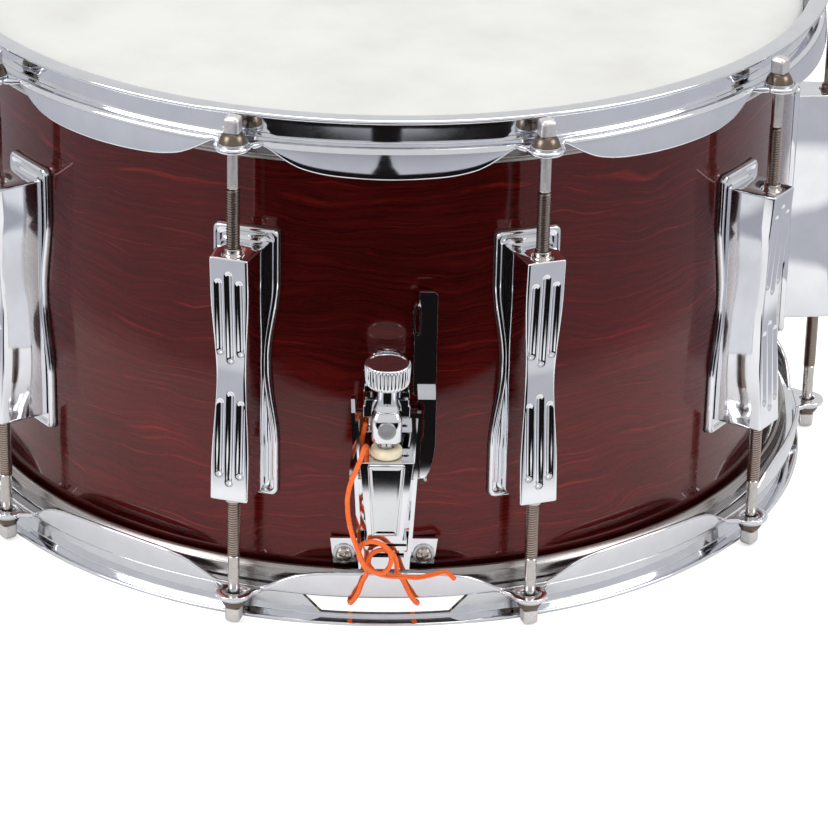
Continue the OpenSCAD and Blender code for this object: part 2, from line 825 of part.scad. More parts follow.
module butt_clamp() {
    color("#d5d8dc") round_drum(180) difference() {
        box([-15, butt_seat_y - 2.4, 30], [15, butt_seat_y - 0.4, 48]);
        for (s = [-1, 1]) translate([s * butt_screw_x, 0, butt_mid_z]) {
            shaft_y(screw_d + 0.3, butt_seat_y + 3, butt_seat_y - 5);
        }
    }
}

module butt_clamp_screws() {
    color("silver") round_drum(180) for (s = [-1, 1]) translate([s * butt_screw_x, 0, butt_mid_z]) {
        shaft_y(4, butt_seat_y + 5, butt_seat_y - 4);
        shaft_y(7.6, butt_seat_y - 2.45, butt_seat_y - 4.4);
        box([-2.6, butt_seat_y - 11, -2.6], [2.6, butt_seat_y - 4, 2.6]);
    }
}

module butt_screws() {
    color("silver") round_drum(180) for (s = [-1, 1]) translate([s * butt_base_screw_x, 0, butt_mid_z]) {
        plate_screw(base_y - sheet);
    }
}

module butt_nuts() {
    color("silver") round_drum(180) for (s = [-1, 1]) translate([s * butt_base_screw_x, 0, butt_mid_z]) {
        inside_nut();
    }
}

// The plastic strap from the clamp, over the hoop's skirt and in through the gate to the snares
module butt_strap() {
    color("#dddddd") round_drum(180) plate_yz(-strap_w / 2, strap_w / 2) {
        for (i = [0 : len(strap_line) - 2]) hull() {
            translate(strap_line[i]) circle(d = strap_t, $fn = 12);
            translate(strap_line[i + 1]) circle(d = strap_t, $fn = 12);
        }
    }
}

// ---------- Snares ----------

module snare_wires() {
    color("#a8a8a8") for (i = [0 : strand_count - 1]) {
        translate([(i - (strand_count - 1) / 2) * strand_pitch, strand_len / 2, strand_z]) {
            rotate([90, 0, 0]) cylinder(d = strand_d, h = strand_len, $fn = 16);
        }
    }
}

// Each plate carries the ends of the strands, and its folded and rolled lip has the cord's two holes
module snare_end_plates() {
    color("#c0c0c0") for (a = [0, 180]) round_drum(a) difference() {
        union() {
            box([-plate_w / 2, -plate_y[1], plate_top - plate_t], [plate_w / 2, -plate_y[0], plate_top]);
            box([-plate_w / 2, -plate_y[1], plate_low], [plate_w / 2, -plate_y[1] + plate_t, plate_top]);
            translate([-plate_w / 2, -hinge_y, hook_z]) rotate([0, 90, 0]) cylinder(d = hem_d, h = plate_w);
        }
        for (s = [-1, 1]) translate([s * hook_x, 0, hook_z]) shaft_y(2.8, -plate_y[0], -plate_y[1] - 2);
    }
}

// ---------- Snare cord ----------

function unit(v) = v / norm(v);
function across(side, along) = unit(side - along * (side * along));

module snare_cord() {
    last = len(cord_route) - 1;
    along = [for (i = [0 : last]) unit(cord_route[min(i + 1, last)] - cord_route[max(i - 1, 0)])];
    side = [
        for (i = 0, s = across([1, 0, 0], along[0]); i <= last;
            i = i + 1, s = across(s, along[min(i, last)])) s
    ];
    points = [
        for (i = [0 : last], k = [0 : cord_sides - 1])
            let (turn = k * 360 / cord_sides, up = cross(along[i], side[i]))
            cord_route[i] + cord_d / 2 * (cos(turn) * side[i] + sin(turn) * up)
    ];
    walls = [
        for (i = [0 : last - 1], k = [0 : cord_sides - 1])
            let (a = i * cord_sides + k, b = i * cord_sides + (k + 1) % cord_sides)
            [a, a + cord_sides, b + cord_sides, b]
    ];
    ends = [
        [for (k = [0 : cord_sides - 1]) k],
        [for (k = [cord_sides - 1 : -1 : 0]) last * cord_sides + k]
    ];
    color("#f0632a") polyhedron(points, concat(walls, ends));
}

// ---------- Nodes ----------

shell();
batter_reinforcement_ring();
snare_reinforcement_ring();
vent_grommet();
vent_badge();
batter_head_film();
batter_flesh_hoop();
snare_head_film();
snare_flesh_hoop();
batter_hoop();
snare_hoop();
lug_gaskets();
swivel_nuts();
lug_screws();
lug_screw_washers();
batter_tension_rods();
snare_tension_rods();
batter_rod_washers();
snare_rod_washers();
strainer_base();
strainer_screws();
strainer_screw_washers();
strainer_nuts();
throw_pivot_pin();
throw_lever();
carriage();
label_plate();
cord_clamp();
nylon_washer();
adjust_nut();
trunnion_block();
trunnion_rivet();
trunnion_yoke();
adjust_screw();
adjust_knob();
butt_base();
butt_clamp();
butt_clamp_screws();
butt_screws();
butt_nuts();
butt_strap();
snare_wires();
snare_end_plates();
snare_cord();
for (i = [0 : lug_count - 1]) lug(i);
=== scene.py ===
"""A snare drum with a stained maple shell, seen from its strainer side.

Shapes are worked out in millimetres round the drum's axis and scaled to metres when each mesh is made.
An angle round the drum is in degrees from the strainer (-Y) towards +X, and r is the distance from the axis.
"""

import math

import bmesh
import bpy
from mathutils import Matrix, Vector


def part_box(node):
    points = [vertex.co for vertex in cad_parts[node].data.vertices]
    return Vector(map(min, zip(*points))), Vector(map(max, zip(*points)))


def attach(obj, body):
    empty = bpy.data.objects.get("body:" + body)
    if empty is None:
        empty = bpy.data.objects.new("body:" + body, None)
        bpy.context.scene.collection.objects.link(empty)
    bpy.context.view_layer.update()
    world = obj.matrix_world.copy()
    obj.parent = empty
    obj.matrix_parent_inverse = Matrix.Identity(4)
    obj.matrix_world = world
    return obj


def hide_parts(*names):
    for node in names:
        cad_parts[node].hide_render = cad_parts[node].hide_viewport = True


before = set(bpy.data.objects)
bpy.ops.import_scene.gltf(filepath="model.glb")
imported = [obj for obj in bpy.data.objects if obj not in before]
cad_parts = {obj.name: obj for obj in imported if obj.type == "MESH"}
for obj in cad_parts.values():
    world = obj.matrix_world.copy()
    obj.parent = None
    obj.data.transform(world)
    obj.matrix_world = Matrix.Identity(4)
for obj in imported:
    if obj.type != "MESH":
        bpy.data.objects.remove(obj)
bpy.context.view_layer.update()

MM = 0.001


def limits(node):
    """The node's lowest and highest corners in millimetres."""
    low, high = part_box(node)
    return low / MM, high / MM


# ---------- Sizes taken from the frame ----------

SHELL_LOW, SHELL_HIGH = limits("shell")
SHELL_R = SHELL_HIGH.x
TOTAL_H = limits("batter_hoop")[1].z
MID_Z = TOTAL_H / 2
LUG_COUNT = 10
LUG_STEP = 360 / LUG_COUNT
LUG_ANGLES = [(i + 0.5) * LUG_STEP for i in range(LUG_COUNT)]
COLLAR_HALF = 5.6
ROD_R = limits("snare_tension_rods")[1].x - COLLAR_HALF
NUT_LOW = limits("swivel_nuts")[0].z
ROD_LOW = limits("snare_tension_rods")[0].z
FLESH_LOW, FLESH_HIGH = limits("snare_flesh_hoop")
FILM_TOP = limits("batter_head_film")[1].z
SKIRT_Z = limits("snare_hoop")[1].z
KNOB_LOW, KNOB_HIGH = limits("adjust_knob")
SPINDLE_X = (KNOB_LOW.x + KNOB_HIGH.x) / 2
SPINDLE_Y = (KNOB_LOW.y + KNOB_HIGH.y) / 2
LABEL_LOW, LABEL_HIGH = limits("label_plate")
SNARE_LOW, SNARE_HIGH = limits("snare_wires")

# Hoop section
SHEET_T = 2.0
COLLAR_MID_R = SHELL_R + 5.2
LIP_R = 190.3
EAR_Z = 14.0
SKIRT_MID_R = COLLAR_MID_R + 4.8
SKIRT_LEAN = 1.1
BEND_R = 1.6
EAR_R = 7.5
EAR_HOLE_R = 3.3
GATE_LOW, GATE_HIGH = 2.8, 10.6
GATE_HALF_HIGH, GATE_HALF_LOW = 34.0, 26.2
GATE_X = 1.6

# Lug
LUG_LEN = 105.5
LUG_W, LUG_WAIST = 15.8, 12.4
LUG_FACE_R, LUG_CREASE = 200.7, 3.2
FLANGE_W, FLANGE_WAIST, FLANGE_LEN = 27.1, 19.6, 116.5
LUG_SEAT_R = SHELL_R + 0.6

# Tension rods
THREAD_PITCH = 1.06
ROD_MAJOR, ROD_MINOR = 2.7, 2.2
SHANK_TOP = 30.0

# ---------- Camera ----------

CAMERA_PLACE = Vector((-0.0277, -1.5125, 0.7431))
CAMERA_AZIMUTH, CAMERA_ELEVATION, CAMERA_ROLL = -1.6915, 26.036, 1.2387
CAMERA_LENS, CAMERA_SENSOR = 161.918, 36.0


def make_camera():
    azimuth, elevation = math.radians(CAMERA_AZIMUTH), math.radians(CAMERA_ELEVATION)
    level = math.cos(elevation)
    back = Vector((math.sin(azimuth) * level, -math.cos(azimuth) * level, math.sin(elevation)))
    right = Vector((math.cos(azimuth), math.sin(azimuth), 0))
    turn = Matrix((right, back.cross(right), back)).transposed()
    turn = turn @ Matrix.Rotation(math.radians(CAMERA_ROLL), 3, "Z")
    data = bpy.data.cameras.new("camera")
    data.lens = CAMERA_LENS
    data.sensor_width = CAMERA_SENSOR
    data.clip_start, data.clip_end = 0.05, 30
    camera = bpy.data.objects.new("camera", data)
    camera.matrix_world = Matrix.Translation(CAMERA_PLACE) @ turn.to_4x4()
    bpy.context.collection.objects.link(camera)
    bpy.context.scene.camera = camera


make_camera()

# ---------- Materials ----------


class Surface:
    """A node material with one Principled shader. put() adds a node, and links a value that is a socket."""

    def __init__(self, name, **settings):
        self.material = bpy.data.materials.new(name)
        self.material.use_nodes = True
        self.tree = self.material.node_tree
        self.shader = self.tree.nodes["Principled BSDF"]
        for key, value in settings.items():
            self.feed(self.shader, key.replace("_", " "), value)

    def feed(self, node, name, value):
        socket = node.inputs[name]
        if isinstance(value, bpy.types.NodeSocket):
            self.tree.links.new(value, socket)
        elif isinstance(value, tuple) and len(value) == 3 and socket.type == "RGBA":
            socket.default_value = (*value, 1)
        else:
            socket.default_value = value

    def put(self, kind, inputs=None, out=0, **settings):
        node = self.tree.nodes.new("ShaderNode" + kind)
        for key, value in settings.items():
            setattr(node, key, value)
        for name, value in (inputs or {}).items():
            self.feed(node, name, value)
        return node.outputs[out]

    def math(self, operation, a, b=0.0, c=0.0):
        return self.put("Math", {0: a, 1: b, 2: c}, operation=operation)

    def times(self, a, b):
        return self.math("MULTIPLY", a, b)

    def place(self):
        """The piece's own coordinates, in millimetres."""
        point = self.put("TexCoord", out="Object")
        return self.put("VectorMath", {0: point, "Scale": 1 / MM}, operation="SCALE")

    def noise(self, vector, scale, detail=3.0, roughness=0.5):
        inputs = {"Vector": vector, "Scale": scale, "Detail": detail, "Roughness": roughness}
        return self.put("TexNoise", inputs)

    def ramp(self, value, *stops):
        node = self.tree.nodes.new("ShaderNodeValToRGB")
        self.feed(node, "Fac", value)
        points = node.color_ramp.elements
        while len(points) < len(stops):
            points.new(0.5)
        for point, (place, shade) in zip(points, stops):
            point.position = place
            point.color = (*shade, 1) if isinstance(shade, tuple) else (shade, shade, shade, 1)
        return node.outputs[0]

    def mix(self, factor, a, b, blend="MIX"):
        inputs = {0: factor, 6: a, 7: b}
        node = self.tree.nodes.new("ShaderNodeMix")
        node.data_type = "RGBA"
        node.blend_type = blend
        for index, value in inputs.items():
            socket = node.inputs[index]
            if isinstance(value, bpy.types.NodeSocket):
                self.tree.links.new(value, socket)
            else:
                socket.default_value = (*value, 1) if isinstance(value, tuple) else value
        return node.outputs[2]

    def bump(self, height, distance_mm, strength=1.0, normal=None):
        inputs = {"Height": height, "Distance": distance_mm * MM, "Strength": strength}
        if normal is not None:
            inputs["Normal"] = normal
        return self.put("Bump", inputs)

    def set(self, **sockets):
        for key, value in sockets.items():
            self.feed(self.shader, key.replace("_", " "), value)
        return self.material

    def round_drum(self):
        """Distance along the circumference, height and distance from the axis, in millimetres."""
        split = self.tree.nodes.new("ShaderNodeSeparateXYZ")
        self.feed(split, "Vector", self.place())
        x, y, z = split.outputs
        angle = self.math("ARCTAN2", x, self.times(y, -1))
        radius = self.math("SQRT", self.math("ADD", self.times(x, x), self.times(y, y)))
        return self.times(angle, SHELL_R), z, radius

    def flat(self, x, y, z=0.0):
        return self.put("CombineXYZ", {0: x, 1: y, 2: z})

    def grain(self, x, x_scale, y, y_scale, detail, roughness):
        """Noise over a flat plane, stretched by its two scales."""
        return self.noise(self.flat(self.times(x, x_scale), self.times(y, y_scale)), 1.0, detail, roughness)


def metal(name, color, roughness, spread=0.04, waviness=0.0, grain=0.0):
    """Plated or bare metal: smudges vary the gloss, waviness bends the reflections, grain is fine texture."""
    s = Surface(name, Metallic=1.0)
    place = s.place()
    smudge = s.noise(place, 0.09, 4, 0.6)
    fine = s.noise(place, 1.4, 3, 0.6)
    both = s.math("MULTIPLY_ADD", fine, 0.35, s.times(smudge, 0.65))
    rough = s.ramp(both, (0.3, max(roughness - spread, 0.01)), (0.72, roughness + spread))
    tint = s.mix(s.ramp(smudge, (0.35, 0.0), (0.7, 1.0)), color, tuple(c * 0.93 for c in color))
    normal = None
    if waviness:
        normal = s.bump(s.noise(place, 0.045, 1, 0.4), waviness)
    if grain:
        normal = s.bump(s.noise(place, 5.0, 3, 0.7), grain, normal=normal)
    if normal is not None:
        s.set(Normal=normal)
    return s.set(Base_Color=tint, Roughness=rough)


def brushed(name, color, roughness):
    """Bare aluminium with drawing lines that run round the drum."""
    s = Surface(name, Metallic=1.0)
    along, z, radius = s.round_drum()
    lines = s.noise(s.flat(s.times(along, 0.01), s.times(z, 4.0), radius), 1.0, 4, 0.7)
    s.set(Normal=s.bump(lines, 0.03, 0.6))
    shade = s.ramp(lines, (0.35, tuple(c * 0.86 for c in color)), (0.65, color))
    return s.set(Base_Color=shade, Roughness=s.ramp(lines, (0.3, roughness - 0.06), (0.7, roughness + 0.08)))


def lacquered_shell():
    """Cherry-stained maple under clear gloss outside, bare maple inside and on the bearing edges."""
    s = Surface("shell_lacquer", Coat_Weight=1.0, Coat_Roughness=0.03, Coat_IOR=1.38, Metallic=0.85)
    along, z, radius = s.round_drum()
    sway = s.grain(along, 0.012, z, 0.02, 2, 0.5)
    ripple = s.grain(along, 0.040, z, 0.06, 2, 0.5)
    level = s.math("MULTIPLY_ADD", sway, 34.0, s.math("MULTIPLY_ADD", ripple, 5.0, z))
    # growth rings show as thin bright lines, broken up and unevenly spaced
    spread = s.noise(s.flat(0.0, s.times(level, 0.05)), 1.0, 3, 0.6)
    ring = s.math("PINGPONG", s.math("MULTIPLY_ADD", spread, 5.0, s.times(level, 0.12)), 0.5)
    broken = s.grain(along, 0.03, level, 0.2, 4, 0.65)
    thin = s.ramp(ring, (0.0, 1.0), (0.03, 0.6), (0.085, 0.0))
    line = s.times(thin, s.ramp(broken, (0.46, 0.0), (0.66, 1.0)))
    streak = s.grain(along, 0.022, level, 0.6, 5, 0.7)
    pore = s.grain(along, 0.16, z, 2.6, 3, 0.6)
    cloud = s.grain(along, 0.02, z, 0.03, 3, 0.5)
    deep, stain, light = (0.066, 0.0052, 0.0050), (0.105, 0.0078, 0.0070), (0.165, 0.0115, 0.0095)
    red = s.ramp(streak, (0.30, deep), (0.52, stain), (0.74, light))
    red = s.mix(s.ramp(cloud, (0.35, 0.0), (0.7, 0.5)), red, (0.056, 0.0052, 0.0052))
    red = s.mix(line, red, (0.27, 0.019, 0.014))
    red = s.mix(s.ramp(pore, (0.58, 0.0), (0.72, 0.6)), red, (0.040, 0.0036, 0.0036))
    bare = s.ramp(streak, (0.3, (0.52, 0.35, 0.19)), (0.7, (0.70, 0.52, 0.31)))
    outside = s.ramp(s.math("SUBTRACT", radius, SHELL_R - 1.0), (0.2, 0.0), (0.6, 1.0))
    s.set(Base_Color=s.mix(outside, bare, red), Specular_IOR_Level=0.0)
    s.set(Roughness=s.ramp(streak, (0.3, 0.24), (0.7, 0.32)))
    s.set(Coat_Normal=s.bump(s.grain(along, 0.05, z, 0.05, 2, 0.4), 0.10))
    return s.set(Normal=s.bump(pore, 0.02, 0.5))


def bare_maple():
    s = Surface("maple_inside", IOR=1.45)
    along, z, _ = s.round_drum()
    streak = s.grain(along, 0.03, z, 0.7, 5, 0.6)
    s.set(Normal=s.bump(streak, 0.05, 0.5), Roughness=0.55)
    return s.set(Base_Color=s.ramp(streak, (0.3, (0.50, 0.33, 0.18)), (0.7, (0.70, 0.52, 0.31))))


def coated_film():
    """The white sprayed coating of the playing head, with its fine tooth and faint wear."""
    s = Surface("coated_film", IOR=1.45)
    place = s.place()
    tooth = s.noise(place, 2.2, 4, 0.75)
    wear = s.noise(place, 0.022, 4, 0.6)
    s.set(Normal=s.bump(tooth, 0.06, 0.8))
    shade = s.ramp(wear, (0.35, (0.66, 0.66, 0.64)), (0.7, (0.58, 0.575, 0.55)))
    shade = s.mix(s.ramp(tooth, (0.3, 0.0), (0.75, 0.35)), shade, (0.50, 0.50, 0.48))
    return s.set(Base_Color=shade, Roughness=s.ramp(tooth, (0.3, 0.5), (0.7, 0.75)))


def hazy_film():
    s = Surface("clear_film", IOR=1.45, Transmission_Weight=0.9)
    haze = s.noise(s.place(), 0.3, 3, 0.6)
    return s.set(Base_Color=s.ramp(haze, (0.3, (0.86, 0.88, 0.90)), (0.7, (0.95, 0.96, 0.97))),
                 Roughness=s.ramp(haze, (0.3, 0.06), (0.7, 0.14)))


def plain(name, color, roughness, scale, grain, **settings):
    """Rubber or plastic with mottling and a moulded grain."""
    s = Surface(name, **settings)
    place = s.place()
    mottle = s.noise(place, scale, 4, 0.6)
    s.set(Normal=s.bump(s.noise(place, scale * 12, 3, 0.6), grain))
    shade = s.ramp(mottle, (0.3, tuple(c * 0.82 for c in color)), (0.7, color))
    return s.set(Base_Color=shade, Roughness=s.ramp(mottle, (0.3, roughness - 0.08), (0.7, roughness + 0.08)))


def cord_fibre():
    """Twisted orange cord: the strands wind round it, the dye is a little uneven, and the grooves between
    strands carry painted shade.
    """
    s = Surface("orange_cord", IOR=1.4, Sheen_Weight=0.1, Sheen_Roughness=0.4)
    split = s.tree.nodes.new("ShaderNodeSeparateXYZ")
    s.feed(split, "Vector", s.put("UVMap", uv_map="along"))
    run, round_it, _ = split.outputs
    strands = s.math("SINE", s.math("MULTIPLY_ADD", run, 5.2, s.times(round_it, 4 * math.tau)))
    dye = s.noise(s.place(), 0.8, 4, 0.6)
    shade = s.ramp(dye, (0.3, (0.82, 0.115, 0.010)), (0.7, (1.0, 0.19, 0.022)))
    # painted shade: the grooves between the strands are coloured darker
    shade = s.mix(s.ramp(strands, (0.0, 0.5), (0.5, 0.0)), shade, (0.62, 0.085, 0.012))
    s.set(Normal=s.bump(strands, 0.12, 0.7))
    return s.set(Base_Color=shade, Roughness=0.5)


def rod_metal():
    """Square head, dark seat collar, plain shank and oily thread differ along the rod's own height."""
    s = Surface("rod_metal", Metallic=1.0)
    _, z, _ = s.round_drum()
    smudge = s.noise(s.place(), 0.7, 4, 0.6)
    scale, step = 0.02, 0.001
    height = s.times(z, scale)
    head, collar, shank = (ROD_LOW + 6.4) * scale, (EAR_Z - 2.9) * scale, SHANK_TOP * scale
    nickel, seat, polished = (0.86, 0.83, 0.82), (0.17, 0.13, 0.10), (0.68, 0.65, 0.62)
    shade = s.ramp(
        height, (head - step, nickel), (head + step, seat), (collar - step, seat), (collar + step, polished),
        (shank, (0.66, 0.63, 0.60)), (shank + 12 * step, (0.42, 0.35, 0.31)),
    )
    shade = s.mix(s.ramp(smudge, (0.3, 0.0), (0.75, 0.3)), shade, (0.22, 0.19, 0.17))
    rough = s.ramp(
        height, (head, 0.34), (head + 2 * step, 0.3), (collar, 0.22), (shank, 0.2), (shank + 10 * step, 0.24),
    )
    s.set(Normal=s.bump(s.noise(s.place(), 4.0, 3, 0.6), 0.01))
    return s.set(Base_Color=shade, Roughness=rough)


CHROME = metal("chrome", (0.80, 0.81, 0.84), 0.045, 0.025, waviness=0.05)
PRESSED_CHROME = metal("pressed_chrome", (0.80, 0.81, 0.845), 0.06, 0.03, waviness=0.12)
NICKEL = metal("nickel_steel", (0.55, 0.51, 0.47), 0.20, 0.06)
ROD_METAL = rod_metal()
ZINC = metal("zinc_steel", (0.62, 0.63, 0.65), 0.30, 0.08, grain=0.01)
RIVET = metal("rivet_steel", (0.50, 0.50, 0.51), 0.42, 0.08, grain=0.05)
BRASS = metal("brass", (0.75, 0.52, 0.20), 0.18, 0.06)
LABEL = metal("label_metal", (0.70, 0.71, 0.72), 0.06, 0.02, grain=0.003)
SNARE_STEEL = metal("snare_steel", (0.60, 0.60, 0.60), 0.22, 0.06)
ALUMINIUM = brushed("aluminium", (0.38, 0.36, 0.35), 0.24)
LACQUER = lacquered_shell()
MAPLE = bare_maple()
COATED = coated_film()
HAZY = hazy_film()
RUBBER = plain("gasket_rubber", (0.02, 0.02, 0.02), 0.5, 0.5, 0.02)
NYLON = plain("nylon", (0.80, 0.70, 0.52), 0.38, 0.3, 0.01, Subsurface_Weight=0.15, Subsurface_Scale=0.002)
STRAP = plain("strap_plastic", (0.72, 0.72, 0.70), 0.35, 0.3, 0.01)
CORD = cord_fibre()

# ---------- Mesh helpers ----------

SHARP_ANGLE = math.radians(38)


def add_piece(name, points, faces, material, body, node=None, slot=None, sharp=SHARP_ANGLE, uv=None):
    """A mesh from points in millimetres, smooth except where faces meet at more than the sharp angle."""
    mesh = bpy.data.meshes.new(name)
    mesh.from_pydata([tuple(c * MM for c in p) for p in points], [], faces)
    if uv:
        layer = mesh.uv_layers.new(name="along")
        for loop in mesh.loops:
            layer.data[loop.index].uv = uv[loop.vertex_index]
    bm = bmesh.new()
    bm.from_mesh(mesh)
    bmesh.ops.remove_doubles(bm, verts=bm.verts, dist=0.002 * MM)
    bmesh.ops.dissolve_degenerate(bm, edges=bm.edges, dist=0.0005 * MM)
    bmesh.ops.recalc_face_normals(bm, faces=bm.faces)
    for face in bm.faces:
        face.smooth = True
    for edge in bm.edges:
        edge.smooth = len(edge.link_faces) == 2 and edge.calc_face_angle(0) < sharp
    bm.to_mesh(mesh)
    bm.free()
    mesh.materials.append(material)
    return link_piece(name, mesh, body, node)


def link_piece(name, mesh, body, nodes=None, turn=0.0, upside_down=False):
    piece = bpy.data.objects.new(name, mesh)
    bpy.context.collection.objects.link(piece)
    piece.matrix_world = Matrix.Rotation(math.radians(turn), 4, "Z")
    if upside_down:
        flip = Matrix.Translation((0, 0, MID_Z * MM)) @ Matrix.Rotation(math.pi, 4, "X")
        piece.matrix_world = flip @ Matrix.Translation((0, 0, -MID_Z * MM)) @ piece.matrix_world
    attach(piece, body)
    if nodes:
        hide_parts(*([nodes] if isinstance(nodes, str) else nodes))
    return piece


class Shape:
    """Points and faces in millimetres, added strip by strip."""

    def __init__(self):
        self.points, self.faces = [], []

    def ring(self, points):
        start = len(self.points)
        self.points += [tuple(p) for p in points]
        return list(range(start, len(self.points)))

    def bridge(self, a, b, closed=True):
        count = len(a)
        for i in range(count if closed else count - 1):
            j = (i + 1) % count
            self.faces.append((a[i], a[j], b[j], b[i]))

    def strip(self, rings, closed=True):
        for a, b in zip(rings, rings[1:]):
            self.bridge(a, b, closed)

    def cap(self, ring):
        self.faces.append(tuple(ring))

    def piece(self, *args, **settings):
        return add_piece(args[0], self.points, self.faces, *args[1:], **settings)


def turns(steps):
    """Angles evenly spaced round a full turn, in radians."""
    return [math.tau * k / steps for k in range(steps)]


def squarish(a, power):
    """The radius of a unit superellipse at an angle: nearly square, with soft corners."""
    return (abs(math.cos(a)) ** power + abs(math.sin(a)) ** power) ** (-1 / power)


def polar(r, degrees, z):
    a = math.radians(degrees)
    return (r * math.sin(a), -r * math.cos(a), z)


def lathe(shape, profile, centre=(0, 0, 0), axis="Z", steps=48, closed=False):
    """A turned solid: profile is (radius, height) pairs. Axis -Y points out of the drum's front."""
    rings = []
    for r, h in profile:
        ring = []
        for a in turns(steps):
            u, v = max(r, 0.0005) * math.cos(a), max(r, 0.0005) * math.sin(a)
            offset = {"Z": (u, v, h), "Y": (u, -h, v), "X": (h, u, v)}[axis]
            ring.append([c + o for c, o in zip(centre, offset)])
        rings.append(shape.ring(ring))
    shape.strip(rings)
    if closed:
        shape.bridge(rings[-1], rings[0])
    return rings


def arc(cx, cy, r, start, end, steps):
    """Points on an arc, angles in degrees."""
    out = []
    for i in range(steps + 1):
        a = math.radians(start + (end - start) * i / steps)
        out.append((cx + r * math.cos(a), cy + r * math.sin(a)))
    return out


def smoothstep(a, b, t):
    t = min(max((t - a) / (b - a), 0.0), 1.0)
    return t * t * (3 - 2 * t)


def dress(node, material, edge=0.25):
    """Keeps a CAD node, with a finish and softened edges."""
    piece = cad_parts[node]
    piece.data.materials.clear()
    piece.data.materials.append(material)
    for face in piece.data.polygons:
        face.material_index = 0
    if edge:
        weld = piece.modifiers.new("weld", "WELD")
        weld.merge_threshold = 0.001 * MM
        bevel = piece.modifiers.new("soft_edges", "BEVEL")
        bevel.width = edge * MM
        bevel.segments = 3
        bevel.angle_limit = math.radians(35)
        bevel.harden_normals = True
    return piece


# ---------- Snare cord ----------

# The same points as the CAD route, in millimetres
CORD_ROUTE = [
    (-7.8, -188.4, 91), (-8.6, -187, 86.5), (-9, -185.7, 81.5), (-8.4, -185.6, 76),
    (-6.6, -186, 70.5), (-5.4, -188.6, 66.5), (-5.6, -191.6, 68), (-6.6, -193, 73),
    (-7, -193, 80), (-7.2, -194.2, 84), (-8.2, -198.2, 85.6), (-9.6, -201.6, 82.4),
    (-11.6, -202.8, 77.5), (-13.6, -202.6, 71.5), (-14.6, -202.2, 65), (-14.3, -202.2, 58),
    (-13.2, -202.3, 51.5), (-11.4, -202.5, 45.5), (-9.6, -202.7, 40.5), (-7.6, -202.9, 36),
    (-4.2, -203, 33), (0, -203, 32.4), (2.8, -202.9, 36), (2.6, -202.8, 41.5),
    (-1, -202.8, 45.2), (-5.2, -202, 45.8), (-8.8, -199.8, 43), (-9.8, -198.6, 38),
    (-8.2, -197.4, 33.5), (-6.4, -196, 29.5), (-6.8, -193.6, 25.8), (-8.2, -192, 22),
    (-9.4, -191.4, 17.5), (-11.4, -191, 13.4), (-12.8, -188.2, 10.4), (-13, -184, 9),
    (-12.8, -178.5, 6.6), (-12.5, -172.5, 5), (-12.2, -165.5, 4.6), (-9.8, -161.6, 4.5),
    (-5, -160, 4.5), (0, -159.8, 4.5), (5, -160, 4.5), (9.8, -161.6, 4.5),
    (12.2, -165.5, 4.6), (12.5, -172.5, 5), (13.2, -178.5, 6.6), (14.2, -184, 9),
    (14.4, -188.2, 10.4), (12.8, -191, 13.4), (10.6, -191.4, 17.5), (8.8, -192, 22),
    (7, -194, 26), (5.6, -197, 30), (5.4, -199.4, 35), (3.6, -199.8, 39.4),
    (-0.5, -199.9, 41), (-4.6, -199.8, 39.2), (-5.8, -200, 35), (-3, -200.2, 31),
    (2, -200.2, 29.4), (8, -199.6, 28.8), (14.2, -198, 27.6), (20.4, -196.4, 28.2),
    (25.2, -195.4, 28.8), (28.6, -195, 25.8),
]
CORD_D = 2.0


def through(points, steps):
    """A smooth line through the points (Catmull-Rom), with so many steps to a point."""
    ends = [points[0] * 2 - points[1], *points, points[-1] * 2 - points[-2]]
    line = []
    for a, b, c, d in zip(ends, ends[1:], ends[2:], ends[3:]):
        for i in range(steps):
            t = i / steps
            square, cube = 2 * a - 5 * b + 4 * c - d, 3 * b - a - 3 * c + d
            line.append(0.5 * (2 * b + (c - a) * t + square * t**2 + cube * t**3))
    return [*line, points[-1]]


def make_cord():
    sides, steps = 16, 7
    line = through([Vector(p) for p in CORD_ROUTE], steps)
    shape, uv, rings = Shape(), [], []
    side = Vector((1, 0, 0))
    travelled = 0.0
    for i, centre in enumerate(line):
        along = (line[min(i + 1, len(line) - 1)] - line[max(i - 1, 0)]).normalized()
        side = (side - along * side.dot(along)).normalized()
        up = along.cross(side)
        travelled += (centre - line[max(i - 1, 0)]).length
        ring = []
        for k in range(sides):
            turn = math.tau * k / sides
            # three strands twisted together stand a little proud
            proud = 1 + 0.035 * math.cos(3 * turn - travelled * 1.1)
            ring.append(centre + CORD_D / 2 * proud * (math.cos(turn) * side + math.sin(turn) * up))
            uv.append((travelled, k / sides))
        rings.append(shape.ring(ring))
    shape.strip(rings)
    for ring, centre, inner in ((rings[0], line[0], line[1]), (rings[-1], line[-1], line[-2])):
        # each end is melted to a blunt, slightly swollen tip
        outward = (centre - inner).normalized()
        last = ring
        for reach, size in ((0.25, 1.08), (0.55, 0.95), (0.8, 0.6), (0.9, 0.15)):
            middle = centre + outward * reach * CORD_D / 2
            grown = [middle + (Vector(shape.points[p]) - centre) * size for p in ring]
            uv += [uv[p] for p in ring]
            tip = shape.ring(grown)
            shape.bridge(last, tip)
            last = tip
        shape.cap(last)
    cord = shape.piece("snare_cord_tied", CORD, "carriage", node="snare_cord", slot="orange_cord", uv=uv)
    tuple(c * MM for c in CORD_ROUTE[0])


make_cord()

# ---------- Shell and heads ----------


VENT_ANGLE = 108


